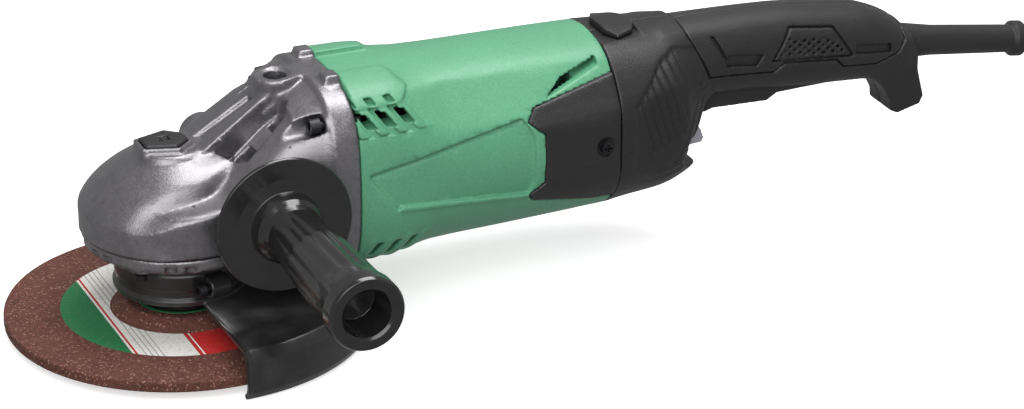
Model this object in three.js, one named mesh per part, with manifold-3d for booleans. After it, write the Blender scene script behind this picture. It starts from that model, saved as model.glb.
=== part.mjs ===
// Angle grinder for 180 mm depressed-centre wheels, with a tail handle and a side handle.
// Millimetres, +Z up. Origin: centre of the spindle's lower end face. +X runs to the tail handle,
// -Y is the side that carries the side handle.
import * as THREE from 'three';
import { mergeVertices } from 'three/addons/utils/BufferGeometryUtils.js';
import Module from 'manifold-3d';

const wasm = await Module();
wasm.setup();

// ---- driving dimensions -------------------------------------------------------------------
const GAP = 0.3;                 // clearance between neighbouring pieces
const FINE = 32;                 // sides of the large round pieces
const MID = 18;                  // sides of the middling round pieces
const COARSE = 8;               // sides of screws and pins

const MOTOR_Z = 72.3;            // height of the motor axis above the spindle's end
const WHEEL_R = 90;
const WHEEL_BORE_R = 11.2;
const WHEEL_FACE_Z = 5;          // upper face of the wheel's flat part
const HUB_TOP_Z = 10;            // upper face of the wheel's raised centre
const WHEEL_T = 6;

const SPINDLE_THREAD_R = 7;
const SPINDLE_R = 8.5;
const SPINDLE_TOP_Z = 82;
const GLAND_BOTTOM_Z = 42;
const SEAM_Z = 50;               // joint between packing gland and gear cover
const GLAND_R = 47.5;
const NECK_R = 29.2;             // neck of the gland, which the guard's collar clamps
const GEAR_TEETH = 41;
const PINION_TEETH = 12;
const LOCK_PIN_X = -15;          // where the lock pin meets the ring gear
const LOCK_TRACK = { r0: 12, r1: 18, floor: 56.4, stops: [30, 150, 270], stopHalf: 1.2 };

const COVER_REAR_X = 79;         // joint between gear cover and motor housing
const HOUSING_REAR_X = 223.6;    // joint between motor housing and tail handle
const HOUSING_BORE_R = 44.6;
const CORNER_SCREW_R = 50.5;     // the four corner screws' distance from the motor axis

const GUARD_R = 98;
const GUARD_PLATE_Z = 19.4;
const GUARD_LIP_Z = -6;
const SHEET_T = 1.8;

const SIDE_X = 33;               // side handle axis
const SIDE_Z = 69;
const SIDE_FACE_Y = 61.7;        // boss faces that the side handle screws against
const SIDE_LENGTH = 114;
const THREAD_R = 6;              // side handle thread, same in all three bosses

const TOP_BOSS_X = 53;
const TOP_BOSS_Z = 121.7;
const TOP_BOSS_R = 12;

const TRIGGER_PIVOT = { x: 368, z: 79 };
const BOOT_ROOT = { x: 404, z: 83.4 };
const BOOT_TIP = { x: 484.5, z: 72.1 };

// ---- materials ----------------------------------------------------------------------------
const finish = (colour, roughness, metalness) =>
  new THREE.MeshStandardMaterial({ color: colour, roughness, metalness });

const castAluminium = () => finish(0x8d8b8d, 0.45, 0.85);
const machinedSteel = () => finish(0xb4b4b6, 0.32, 1.0);
const blackSteel = () => finish(0x232325, 0.4, 0.8);
const guardPaint = () => finish(0x242323, 0.35, 0.3);
const abrasive = () => finish(0x6e4137, 0.92, 0.0);
const greenPlastic = () => finish(0x69af87, 0.45, 0.0);
const blackPlastic = () => finish(0x2c2a2b, 0.5, 0.0);
const glossBlack = () => finish(0x1d1b1c, 0.22, 0.0);
const softBlack = () => finish(0x343132, 0.75, 0.0);
const greyPlastic = () => finish(0x8a8592, 0.5, 0.0);
const copper = () => finish(0xa5623a, 0.4, 0.9);
const brass = () => finish(0xb59a55, 0.35, 0.9);
const carbon = () => finish(0x2b2b2d, 0.7, 0.1);
const felt = () => finish(0x9c9588, 0.95, 0.0);

// ---- geometry helpers ---------------------------------------------------------------------
// Leaves only welded positions and drops the slivers that poles leave behind.
function weld(geometry) {
  const bare = geometry.clone();
  for (const name of Object.keys(bare.attributes)) {
    if (name !== 'position') bare.deleteAttribute(name);
  }
  const merged = mergeVertices(bare, 1e-4);
  const index = merged.index.array;
  const kept = [];
  for (let i = 0; i < index.length; i += 3) {
    const [a, b, c] = [index[i], index[i + 1], index[i + 2]];
    if (a !== b && b !== c && c !== a) kept.push(a, b, c);
  }
  merged.setIndex(kept);
  return merged;
}

function toSolid(geometry) {
  const g = weld(geometry);
  return new wasm.Manifold(new wasm.Mesh({
    numProp: 3,
    vertProperties: new Float32Array(g.attributes.position.array),
    triVerts: new Uint32Array(g.index.array),
  }));
}

function toGeometry(solid) {
  const mesh = solid.getMesh();
  const geometry = new THREE.BufferGeometry();
  geometry.setAttribute('position', new THREE.BufferAttribute(mesh.vertProperties, 3));
  geometry.setIndex(new THREE.BufferAttribute(mesh.triVerts, 1));
  return geometry;
}

const cut = (body, ...tools) => toGeometry(tools.reduce((s, t) => s.subtract(toSolid(t)), toSolid(body)));
const join = (...parts) => toGeometry(parts.slice(1).reduce((s, p) => s.add(toSolid(p)), toSolid(parts[0])));
const common = (a, b) => toGeometry(toSolid(a).intersect(toSolid(b)));

function box(x0, x1, y0, y1, z0, z1) {
  const g = new THREE.BoxGeometry(x1 - x0, y1 - y0, z1 - z0);
  return g.translate((x0 + x1) / 2, (y0 + y1) / 2, (z0 + z1) / 2);
}

// A profile of [radius, height] points turned about Z. It runs anticlockwise, and starts and ends
// on the axis or closes on itself.
function turned(profile, sides = MID) {
  const points = profile.map(([r, z]) => new THREE.Vector2(r, z));
  return new THREE.LatheGeometry(points, sides).rotateX(Math.PI / 2);
}

const ringProfile = (r0, r1, z0, z1) => [[r0, z0], [r1, z0], [r1, z1], [r0, z1], [r0, z0]];
const rodProfile = (r, z0, z1) => [[0, z0], [r, z0], [r, z1], [0, z1]];
const ringZ = (r0, r1, z0, z1, sides = MID) => turned(ringProfile(r0, r1, z0, z1), sides);
const rodZ = (r, z0, z1, sides = MID) => turned(rodProfile(r, z0, z1), sides);

// The same about the X axis (heights become X) and about the Y axis.
const alongX = (geometry) => geometry.rotateY(Math.PI / 2);
const alongY = (geometry) => geometry.rotateX(-Math.PI / 2);
const rodX = (r, x0, x1, sides = MID) => alongX(rodZ(r, x0, x1, sides));
const rodY = (r, y0, y1, sides = MID) => alongY(rodZ(r, y0, y1, sides));

// An outline in the XZ plane, given thickness from y0 to y1.
function plateXZ(points, y0, y1) {
  const shape = new THREE.Shape(points.map(([x, z]) => new THREE.Vector2(x, z)));
  const g = new THREE.ExtrudeGeometry(shape, { depth: y1 - y0, bevelEnabled: false });
  return g.rotateX(Math.PI / 2).translate(0, y1, 0);
}

// An outline in the XY plane, given thickness from z0 to z1.
function plateXY(points, z0, z1) {
  const shape = new THREE.Shape(points.map(([x, y]) => new THREE.Vector2(x, y)));
  return new THREE.ExtrudeGeometry(shape, { depth: z1 - z0, bevelEnabled: false }).translate(0, 0, z0);
}

// A closed body through superellipse sections. Each station is [x, half width, z low, z high, power].
function loft(stations, sides = 24) {
  const position = [];
  const index = [];
  const section = ([x, halfY, zLow, zHigh, power]) => {
    const zMid = (zLow + zHigh) / 2;
    const halfZ = (zHigh - zLow) / 2;
    for (let i = 0; i < sides; i += 1) {
      const a = (2 * Math.PI * i) / sides;
      const r = (Math.abs(Math.cos(a)) ** power + Math.abs(Math.sin(a)) ** power) ** (-1 / power);
      position.push(x, halfY * r * Math.cos(a), zMid + halfZ * r * Math.sin(a));
    }
  };
  stations.forEach(section);
  for (let s = 0; s < stations.length - 1; s += 1) {
    for (let i = 0; i < sides; i += 1) {
      const a = s * sides + i;
      const b = s * sides + ((i + 1) % sides);
      index.push(a, b, a + sides, b, b + sides, a + sides);
    }
  }
  const last = (stations.length - 1) * sides;
  for (let i = 1; i < sides - 1; i += 1) {
    index.push(0, i + 1, i, last, last + i, last + i + 1);
  }
  const g = new THREE.BufferGeometry();
  g.setAttribute('position', new THREE.Float32BufferAttribute(position, 3));
  g.setIndex(index);
  return g;
}

const grown = (stations, by) =>
  stations.map(([x, w, lo, hi, p]) => [x, w + by, lo - by, hi + by, p]);

// A toothed wheel's outline, extruded from z0 to z1.
function toothed(teeth, rootR, tipR, z0, z1) {
  const points = [];
  const pitch = (2 * Math.PI) / teeth;
  for (let i = 0; i < teeth; i += 1) {
    for (const [part, r] of [[0.05, rootR], [0.4, tipR], [0.7, tipR]]) {
      const a = (i + part) * pitch;
      points.push([r * Math.cos(a), r * Math.sin(a)]);
    }
  }
  return plateXY(points, z0, z1);
}

const polar = (r, degrees) => {
  const a = THREE.MathUtils.degToRad(degrees);
  return [r * Math.cos(a), r * Math.sin(a)];
};

// A round spring of wire, standing on Z.
function coilSpring(radius, wireR, z0, z1, turns) {
  class Helix extends THREE.Curve {
    getPoint(t) {
      const a = 2 * Math.PI * turns * t;
      return new THREE.Vector3(radius * Math.cos(a), radius * Math.sin(a), z0 + (z1 - z0) * t);
    }
  }
  const wire = new THREE.Shape([0, 1, 2, 3, 4].map((i) => new THREE.Vector2(...polar(wireR, 72 * i))));
  return new THREE.ExtrudeGeometry(wire, { steps: turns * 8, extrudePath: new Helix(), bevelEnabled: false });
}

// A screw with its head's underside at z = 0 and its shank running to -length.
function screwShape(headR, headH, shankR, length) {
  return turned([[0, -length], [shankR, -length], [shankR, 0], [headR, 0], [headR, headH], [0, headH]],
    COARSE);
}

// Cuts can leave loose slivers behind: the piece is the largest body.
function largestBody(geometry) {
  const bodies = toSolid(geometry).decompose();
  return toGeometry(bodies.reduce((a, b) => (b.volume() > a.volume() ? b : a)));
}

function piece(name, geometry, material) {
  const mesh = new THREE.Mesh(weld(largestBody(geometry)), material);
  mesh.name = name;
  return mesh;
}

const at = (object, x, y, z) => {
  object.position.set(x, y, z);
  return object;
};

const group = (...children) => {
  const g = new THREE.Group();
  g.add(...children);
  return g;
};

// ---- outer body sections: [x, half width, z low, z high, power] ---------------------------
const HOUSING = [
  [COVER_REAR_X + GAP, 50, MOTOR_Z - 49.6, MOTOR_Z + 50, 3.2],
  [104, 50, MOTOR_Z - 49.6, MOTOR_Z + 50, 3.2],
  [118, 50, MOTOR_Z - 49.4, MOTOR_Z + 50, 2.2],
  [150, 49.6, MOTOR_Z - 49.4, MOTOR_Z + 49.8, 2.1],
  [HOUSING_REAR_X - GAP, 47.8, MOTOR_Z - 47.2, MOTOR_Z + 48.8, 2.1],
];
const COVER_REAR = [
  [52, 46, SEAM_Z - 14, 112, 2.8],
  [64, 50, MOTOR_Z - 49, 118, 3.1],
  [COVER_REAR_X, 50, MOTOR_Z - 49.6, MOTOR_Z + 50, 3.2],
];
const COVER_WAIST = [
  [-2, 49, 30, 94, 3.2],
  [18, 50, 30, 99, 2.9],
  [38, 50, 30, 110, 2.6],
  [58, 50, 30, 117, 2.8],
];
const HANDLE_BODY = [
  [HOUSING_REAR_X + GAP, 47.8, 25, 121.2, 2.1],
  [240, 46.4, 27.4, 120.4, 2.15],
  [256, 42.5, 30, 119, 2.3],
  [268, 35, 32.2, 118, 2.4],
  [278, 26, 34, 117.4, 2.4],
  [286.5, 16, 36.5, 117, 2.4],
];
const GRIP = [
  [264, 30, 70, 118.2, 2.4],
  [282, 22.6, 76, 117.4, 2.4],
  [304, 20.6, 77.4, 116.6, 2.4],
  [330, 20, 76.8, 115.6, 2.4],
  [356, 20.2, 76, 112.6, 2.4],
  [378, 20.4, 75.4, 109.4, 2.4],
  [394, 19.2, 74, 104, 2.3],
  [404, 16.5, 73, 98, 2.2],
  [411, 12, 74, 91, 2.1],
];

// ---- spindle and wheel --------------------------------------------------------------------
function spindle() {
  const profile = [[0, 0], [6.2, 0], [SPINDLE_THREAD_R, 0.8], [SPINDLE_THREAD_R, 17.8], [SPINDLE_R, 17.8],
    [SPINDLE_R + 1, 22], [SPINDLE_R + 1, 38.8], [7.5, 38.8], [7.5, 64.6], [5, 65.6], [5, SPINDLE_TOP_Z - 0.6],
    [4.4, SPINDLE_TOP_Z], [0, SPINDLE_TOP_Z]];
  return piece('spindle', turned(profile, 18), machinedSteel());
}

function ringGear() {
  const blank = toothed(GEAR_TEETH, 33.4, 36, 54, 61);
  const bore = rodZ(7.5 + GAP, 50, 65);
  const track = ringZ(LOCK_TRACK.r0, LOCK_TRACK.r1, LOCK_TRACK.floor, 62, FINE);
  const stops = LOCK_TRACK.stops.map((d) => box(11, 20, -LOCK_TRACK.stopHalf, LOCK_TRACK.stopHalf, 55, 62)
    .rotateZ(THREE.MathUtils.degToRad(d)));
  return piece('ring_gear', cut(blank, bore, cut(track, ...stops)), machinedSteel());
}

function innerFlange() {
  const profile = [[7.3, HUB_TOP_Z + GAP], [22, HUB_TOP_Z + GAP], [22, 13.4], [20, 17], [13.5, 17.4],
    [7.3, 17.4], [7.3, HUB_TOP_Z + GAP]];
  return piece('inner_flange', turned(profile, 24), blackSteel());
}

function wheel() {
  const low = HUB_TOP_Z - WHEEL_T;
  const profile = [[WHEEL_BORE_R, low], [27, low], [33.5, WHEEL_FACE_Z - WHEEL_T],
    [WHEEL_R, WHEEL_FACE_Z - WHEEL_T], [WHEEL_R, WHEEL_FACE_Z], [35.5, WHEEL_FACE_Z], [27.5, HUB_TOP_Z],
    [WHEEL_BORE_R, HUB_TOP_Z], [WHEEL_BORE_R, low]];
  return piece('wheel', turned(profile, FINE), abrasive());
}

function wheelNut() {
  const profile = [[7.3, 0.4], [20, 0.4], [20.6, 1], [20.6, 3.7], [10.9, 3.7], [10.9, 8], [7.3, 8], [7.3, 0.4]];
  const pinHoles = [0, 180].map((d) => {
    const [x, y] = polar(15, d);
    return rodZ(2.4, 0, 3, COARSE).translate(x, y, 0);
  });
  return piece('wheel_nut', cut(turned(profile, MID), ...pinHoles), blackSteel());
}

const spindleBearing = () => piece('spindle_bearing', ringZ(7.8, 17.2, 39.2, 49.4), machinedSteel());

const needleBearing = () => piece('needle_bearing', ringZ(5.3, 7, 70.5, 81), machinedSteel());

const dustSeal = () => piece('dust_seal', ringZ(9.9, 15.9, 33.4, 38.5), felt());

// ---- packing gland ------------------------------------------------------------------------
function packingGland() {
  const profile = [[9.8, 20.4], [NECK_R - 1, 20.4], [NECK_R, 21.4], [NECK_R, GLAND_BOTTOM_Z],
    [GLAND_R - 2, GLAND_BOTTOM_Z], [GLAND_R, GLAND_BOTTOM_Z + 2], [GLAND_R, SEAM_Z - GAP],
    [17.5, SEAM_Z - GAP], [17.5, 38.9], [16.3, 38.9], [16.3, 33], [9.8, 33], [9.8, 20.4]];
  const notches = [20, 110, 200, 290].map((d) => {
    const [x, y] = polar(GLAND_R, d);
    return rodZ(3.4, GLAND_BOTTOM_Z - 1, SEAM_Z - 3, COARSE).translate(x, y, 0);
  });
  const holes = screwCircle(43.4, rodZ(2.3, 40, 51, COARSE));
  return piece('packing_gland', cut(turned(profile, FINE), ...notches, ...holes), castAluminium());
}

// Copies a geometry to the four corners of a circle about Z.
function screwCircle(radius, geometry) {
  return [45, 135, 225, 315].map((d) => {
    const [x, y] = polar(radius, d);
    return geometry.clone().translate(x, y, 0);
  });
}

function glandScrews() {
  const shape = screwShape(3.3, 3.4, 2, 14).rotateX(Math.PI);
  return screwCircle(43.4, shape).map((g, i) =>
    at(piece(`gland_screw_${i + 1}`, g, blackSteel()), 0, 0, GLAND_BOTTOM_Z - GAP));
}

// ---- gear cover ---------------------------------------------------------------------------
function coverOutside() {
  const nose = turned([[0, 30], [48, 30], [48.2, SEAM_Z + GAP], [50, 60], [50.2, 70.8], [48.4, 77.5],
    [44.3, 81.8], [38.5, 86.4], [26.5, 91], [0, 92]], FINE);
  const topBoss = join(rodZ(TOP_BOSS_R, 96, TOP_BOSS_Z, 24).translate(TOP_BOSS_X, 0, 0),
    box(TOP_BOSS_X, 68, -TOP_BOSS_R + 2.6, TOP_BOSS_R - 2.6, 100, TOP_BOSS_Z - 0.4));
  const legView = [[-2, 88], [5, 91.5], [44, 120.6], [56, 120.6], [56, 88]];
  const legs = [plateXZ(legView, -14.5, -5.5), plateXZ(legView, 5.5, 14.5)];
  const lockFrame = plateXY(hexagon(14.6), 84, 95.6);
  const sideBosses = rodY(16, -SIDE_FACE_Y, SIDE_FACE_Y).translate(SIDE_X, 0, SIDE_Z);
  const corners = cornerPlaces(CORNER_SCREW_R).map(([y, z]) => rodX(6.6, 64.5, 76).translate(0, y, z));
  const blocks = [-1, 1].map((s) => box(70, COVER_REAR_X, s * 24 - 7, s * 24 + 7, 112, MOTOR_Z + 53.6));
  return join(nose, loft(COVER_WAIST), loft(COVER_REAR), topBoss, ...legs, lockFrame, sideBosses,
    ...corners, ...blocks);
}

const hexagon = (r) => [0, 1, 2, 3, 4, 5].map((i) => {
  const [x, y] = polar(r, 60 * i + 12);
  return [x - 6.6, y];
});

// Corner places about the motor axis, as [y, z].
const cornerPlaces = (r) => [42, 138, 222, 318].map((d) => {
  const [y, z] = polar(r, d);
  return [y, MOTOR_Z + z];
});

function gearCover() {
  const belowSeam = box(-60, 53, -60, 60, 20, SEAM_Z + GAP);
  const gearChamber = rodZ(39.6, 40, 66, FINE);
  const needleSeat = rodZ(7.4, 60, SPINDLE_TOP_Z + 1.2);
  const lockWell = plateXY(hexagon(12.4), 86, 99);
  const lockPinHole = rodZ(2.9, 60, 90, COARSE).translate(LOCK_PIN_X, 0, 0);
  const pinionChamber = rodX(14, 13, 43).translate(0, 0, MOTOR_Z);
  const bearingSeat = rodX(15.3, 40.5, 52).translate(0, 0, MOTOR_Z);
  const throat = rodX(17, 51, 62).translate(0, 0, MOTOR_Z);
  const fanChamber = alongX(turned([[0, 58], [30, 58], [44.2, 66], [44.2, 81], [0, 81]], 24))
    .translate(0, 0, MOTOR_Z);
  const glandHoles = screwCircle(43.4, rodZ(2.3, 49, 58, COARSE));
  const topThread = rodZ(THREAD_R + GAP, 106, 130).translate(TOP_BOSS_X, 0, 0);
  const sideThreads = [-1, 1].map((s) => rodY(THREAD_R + GAP, s < 0 ? -70 : 45, s < 0 ? -45 : 70)
    .translate(SIDE_X, 0, SIDE_Z));
  const corner = cornerPlaces(CORNER_SCREW_R).flatMap(([y, z]) => [
    rodX(2.8, 60, 81, COARSE).translate(0, y, z),
    rodX(5.2, 40, 64.6, COARSE).translate(0, y, z),
  ]);
  return piece('gear_cover', cut(coverOutside(), belowSeam, gearChamber, needleSeat, lockWell, lockPinHole,
    pinionChamber, bearingSeat, throat, fanChamber, ...glandHoles, topThread, ...sideThreads, ...corner),
  castAluminium());
}

function coverScrews() {
  return cornerPlaces(CORNER_SCREW_R).map(([y, z], i) => {
    const shape = screwShape(4.6, 5, 2.4, 22).rotateY(-Math.PI / 2);
    return at(piece(`cover_screw_${i + 1}`, shape, blackSteel()), 64.3, y, z);
  });
}

// ---- spindle lock -------------------------------------------------------------------------
function lockButton() {
  const cap = plateXY(hexagon(12), 91.4, 96.6);
  const socket = rodZ(2.8, 90, 94.4, COARSE).translate(LOCK_PIN_X, 0, 0);
  return piece('lock_button', cut(cap, socket), blackPlastic());
}

const lockPin = () => at(piece('lock_pin', rodZ(2.5, 62, 94, COARSE), machinedSteel()), LOCK_PIN_X, 0, 0);

const lockSpring = () => piece('lock_spring', coilSpring(3.4, 0.45, 86.8, 90.6, 3), machinedSteel());

// ---- motor, drawn about the X axis --------------------------------------------------------
function rotorShaft() {
  const profile = [[0, 22], [3.4, 22], [4, 22.6], [4, 38], [5.7, 38], [5.7, 54], [8, 54], [8, 204], [4, 204],
    [4, 217], [3.4, 217.6], [0, 217.6]];
  return piece('rotor_shaft', alongX(turned(profile, 14)), machinedSteel());
}

function pinion() {
  const blank = toothed(PINION_TEETH, 7.4, 9.8, 24.5, 36.5);
  return piece('pinion', alongX(cut(blank, rodZ(4 + GAP, 20, 40, 16))), machinedSteel());
}

function bearingRing(name, inner, outer, x0, x1) {
  return piece(name, alongX(ringZ(inner, outer, x0, x1)), machinedSteel());
}

const ARMATURE_SLOTS = 12;

function armatureCore() {
  const blank = toothed(ARMATURE_SLOTS, 19, 26.6, 112, 172);
  return piece('armature_core', alongX(cut(blank, rodZ(10 + GAP, 100, 180))), blackSteel());
}

// Both end turns, and the insulating sleeve on the shaft that joins them through the core.
function armatureWinding() {
  const profile = [[8 + GAP, 101.5], [18, 101.5], [24.6, 104.5], [24.6, 111.6], [10, 111.6], [10, 172.4],
    [24.6, 172.4], [24.6, 177.6], [18, 180.6], [8 + GAP, 180.6], [8 + GAP, 101.5]];
  return piece('armature_winding', alongX(turned(profile)), copper());
}

function commutator() {
  const blank = toothed(16, 16.2, 17, 182, 202);
  return piece('commutator', alongX(cut(blank, rodZ(8 + GAP, 180, 205))), copper());
}

// A centrifugal fan: a back plate with a hub and upright blades on its front.
function fan() {
  const disc = turned([[8 + GAP, 80], [13, 80], [15, 92.5], [42, 94.5], [42, 96], [8 + GAP, 96],
    [8 + GAP, 80]], 24);
  const blades = [];
  for (let i = 0; i < 9; i += 1) {
    const blade = box(17, 40, -0.9, 0.9, 82, 95);
    blades.push(blade.rotateZ((2 * Math.PI * i) / 9));
  }
  return piece('fan', alongX(join(disc, ...blades)), blackPlastic());
}

const fanGuide = () => piece('fan_guide', alongX(turned([[31, 98], [44.2, 98], [44.2, 104], [42.4, 104],
  [42.4, 100], [31, 100], [31, 98]], 24)), blackPlastic());

// Field core: a ring with an upper and a lower pole reaching in to the armature.
const STATOR = { outer: 43.8, yoke: 37.6, bore: 27.6, poleHalf: 34, x0: 112, x1: 172 };

function arcPoints(r, from, to, count) {
  const points = [];
  for (let i = 0; i <= count; i += 1) points.push(polar(r, from + ((to - from) * i) / count));
  return points;
}

function statorCore() {
  const p = STATOR.poleHalf;
  const windows = [
    ...arcPoints(STATOR.bore, 90 - p, 90 + p, 8), ...arcPoints(STATOR.yoke, 90 + p, 270 - p, 12),
    ...arcPoints(STATOR.bore, 270 - p, 270 + p, 8), ...arcPoints(STATOR.yoke, 270 + p, 450 - p, 12),
  ];
  const ring = rodZ(STATOR.outer, STATOR.x0, STATOR.x1, 28);
  return piece('stator_core', alongX(cut(ring, plateXY(windows, 100, 180))), blackSteel());
}

function fieldCoil(name, turn) {
  const outline = [...arcPoints(36.8, 10, 170, 14), ...arcPoints(28.4, 170, 10, 14)];
  const arch = plateXY(outline, 106, 178);
  const pole = [...arcPoints(50, 90 - STATOR.poleHalf - 1, 90 + STATOR.poleHalf + 1, 2), [0, 0]];
  const loop = cut(arch, plateXY(pole, STATOR.x0 - GAP, STATOR.x1 + GAP));
  return piece(name, alongX(loop.rotateZ(turn)), copper());
}

const BRUSH_X = 194;

function brushHolder(side) {
  const tube = cut(box(-5.4, 5.4, 19.5, 39, -6.4, 6.4), box(-3.6, 3.6, 18, 41, -4.8, 4.8));
  const faced = side === 'left' ? tube.rotateZ(Math.PI) : tube;
  return piece(`brush_holder_${side}`, faced.translate(BRUSH_X, 0, 0), brass());
}

function carbonBrush(side) {
  const [y0, y1] = side === 'left' ? [-33, -17.5] : [17.5, 33];
  return piece(`carbon_brush_${side}`, box(BRUSH_X - 3.2, BRUSH_X + 3.2, y0, y1, -4.4, 4.4), carbon());
}

function motor() {
  return at(group(
    rotorShaft(), pinion(), bearingRing('front_bearing', 6, 15, 41, 51.5), armatureCore(), armatureWinding(),
    commutator(), fan(), fanGuide(), statorCore(), fieldCoil('field_coil_upper', Math.PI),
    fieldCoil('field_coil_lower', 0), bearingRing('rear_bearing', 4.3, 11, 206, 215),
    brushHolder('left'), brushHolder('right'), carbonBrush('left'), carbonBrush('right'),
  ), 0, 0, MOTOR_Z);
}

// ---- motor housing and its side covers ----------------------------------------------------
// Outline of a side cover, in XZ; `by` grows it all round.
function coverOutline(by) {
  const [x0, x1] = [172, HOUSING_REAR_X - GAP - 1.2];
  const past = by > 0 ? 4 : 0;
  return [[x0 - by, 91.5], [x0 + 4 - by, 98.5 + by], [x1 + past, 110.5 + by + 0.26 * past],
    [x1 + past, 45 - by - 0.1 * past], [x0 + 3.5 - by, 49.5 - by], [x0 - by, 53.5], [x0 + 8 - by, 58.5],
    [x0 + 8 - by, 84.5]];
}

const SIDES = [['left', -1], ['right', 1]];

const coverSlab = (sign, by) => plateXZ(coverOutline(by), sign < 0 ? -60 : 20, sign < 0 ? -20 : 60);

function motorHousing() {
  const outside = loft(HOUSING);
  const bore = alongX(turned([[0, 70], [HOUSING_BORE_R, 70], [HOUSING_BORE_R, 203], [0, 203]], 28))
    .translate(0, 0, MOTOR_Z);
  const bearingSeat = rodX(11.3, 200, 218.6).translate(0, 0, MOTOR_Z);
  const airHoles = [45, 135, 225, 315].map((d) => {
    const [y, z] = polar(27, d);
    return rodX(9, 200, 230, 10).translate(0, y, MOTOR_Z + z);
  });
  const brushPockets = SIDES.map(([, s]) => coverSlab(s, GAP)).map((slab) =>
    cut(slab, loft(grown(HOUSING, -2.6).map(([x, ...rest], i) => [i === 0 ? 60 : x + (i === 4 ? 8 : 0),
      ...rest]))));
  const corner = cornerPlaces(CORNER_SCREW_R).map(([y, z]) => rodX(2.8, 70, 90, COARSE).translate(0, y, z));
  const coverHoles = rodY(2.2, -60, 60, COARSE).translate(214.5, 0, MOTOR_Z);
  const screwBore = cut(coverHoles, box(200, 225, -30, 30, 60, 85));
  return piece('motor_housing', cut(outside, bore, bearingSeat, ...airHoles, ...brushPockets, ...corner,
    screwBore), greenPlastic());
}

function sideCover([side, sign]) {
  const long = (by) => loft(grown(HOUSING, by).map(([x, ...rest], i) => [x + (i === 4 ? 8 : 0), ...rest]));
  const shell = cut(common(coverSlab(sign, 0), long(0.8)), long(-2.2));
  const recess = rodY(5, sign < 0 ? -60 : 46.6, sign < 0 ? -46.6 : 60, 12);
  const hole = rodY(2.3, -60, 60, COARSE);
  const place = (g) => g.translate(214.5, 0, MOTOR_Z);
  return piece(`side_cover_${side}`, cut(shell, place(recess), place(hole)), blackPlastic());
}

function sideCoverScrew([side, sign]) {
  const shape = screwShape(3.8, 2, 1.9, 11).rotateX(sign < 0 ? Math.PI / 2 : -Math.PI / 2);
  return at(piece(`side_cover_screw_${side}`, shape, blackSteel()), 214.5, sign * 46.9, MOTOR_Z);
}

// ---- tail handle --------------------------------------------------------------------------
// The side view of the front body: flat to the motor, with a chin below and a throat behind.
const BODY_SIDE_VIEW = [[220, 20], [272, 20], [287, 33], [287, 37.5], [279, 43], [273, 47], [282, 62],
  [287.5, 71], [291, 80], [291, 125], [220, 125]];
const HOOK_SIDE_VIEW = [[386, 84], [387, 70], [391, 59], [392.4, 53], [396.5, 48.6], [402.5, 46.8],
  [416.2, 49.4], [418.6, 54], [412.6, 78], [409.5, 88]];
const SOFT_LIMIT = [[272, 122], [274, 112], [285.6, 89], [324, 85.2], [330, 89.6], [361, 86.6], [365.5, 81.8],
  [385, 80.2], [399, 84], [404, 90], [402, 106], [392, 112]];

const handleOutside = () => join(common(loft(HANDLE_BODY), plateXZ(BODY_SIDE_VIEW, -60, 60)), loft(GRIP),
  plateXZ(HOOK_SIDE_VIEW, -13.5, 13.5));

function handleHollow() {
  const front = loft([[222, 43, 30, 116, 2.2], [240, 42, 32, 115.6, 2.2], [256, 38, 34.6, 114.6, 2.3],
    [266, 30, 40, 113.8, 2.4], [274, 20, 60, 113, 2.4]]);
  const back = loft([[268, 17, 78, 112.4, 2.4], [300, 15.6, 80.6, 111.6, 2.4], [345, 15, 80, 109, 2.4],
    [378, 15, 79.4, 104.4, 2.4], [392, 13.4, 79, 99, 2.3]]);
  return [front, back];
}

const bootAxis = (() => {
  const run = new THREE.Vector2(BOOT_TIP.x - BOOT_ROOT.x, BOOT_TIP.z - BOOT_ROOT.z);
  return { length: run.length(), pitch: Math.atan2(-run.y, run.x) };
})();

// Puts a shape that stands on Z onto the boot's axis.
const onBootAxis = (geometry) => alongX(geometry).rotateY(bootAxis.pitch).translate(BOOT_ROOT.x, 0, BOOT_ROOT.z);

const HANDLE_SCREWS = [{ x: 262, z: 84, tip: -24 }, { x: 292, z: 106, tip: -12 }, { x: 386, z: 94, tip: -10 }];
const HANDLE_SCREW_SEAT = { r: 4.6, wall: 4 };

// Where the handle's right-hand surface is at a screw.
function seatOf({ x }) {
  const stations = x < 270 ? HANDLE_BODY : GRIP;
  const next = stations.findIndex((s) => s[0] > x);
  const [a, b] = [stations[next - 1], stations[next]];
  const half = a[1] + ((b[1] - a[1]) * (x - a[0])) / (b[0] - a[0]);
  return half - HANDLE_SCREW_SEAT.wall - 2.4;
}

function handleBosses() {
  return HANDLE_SCREWS.map((s) => rodY(4.8, s.tip - 1, seatOf(s), 10).translate(s.x, 0, s.z));
}

function handleDrillings() {
  return HANDLE_SCREWS.flatMap((s) => [
    rodY(2.2, s.tip + 0.4, seatOf(s) + 1, COARSE).translate(s.x, 0, s.z),
    rodY(HANDLE_SCREW_SEAT.r, seatOf(s), 60, 12).translate(s.x, 0, s.z),
  ]);
}

function handleShells() {
  const triggerSlot = box(283.5, 374, -11.8, 11.8, 60, 92);
  const leverSlot = box(262, 300, -5.4, 5.4, 42, 60);
  const bootHole = onBootAxis(rodZ(10, 1, 30, 16));
  const bootGroove = onBootAxis(rodZ(12.6, -7, 2.2, 16));
  const hollow = handleHollow();
  const shell = cut(handleOutside(), ...hollow, triggerSlot, leverSlot, bootHole, bootGroove,
    cut(plateXZ(SOFT_LIMIT, -60, 60), loft(grown(GRIP, -2.2))),
    box(222, 248, -20.6, 20.6, 117.2, 130));
  const bosses = handleBosses();
  const drilled = cut(join(shell, ...bosses), ...handleDrillings());
  return SIDES.map(([side, sign]) => {
    const half = sign < 0 ? box(200, 440, -80, -GAP / 2, 0, 140) : box(200, 440, GAP / 2, 80, 0, 140);
    return piece(`handle_shell_${side}`, common(drilled, half), blackPlastic());
  });
}

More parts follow.
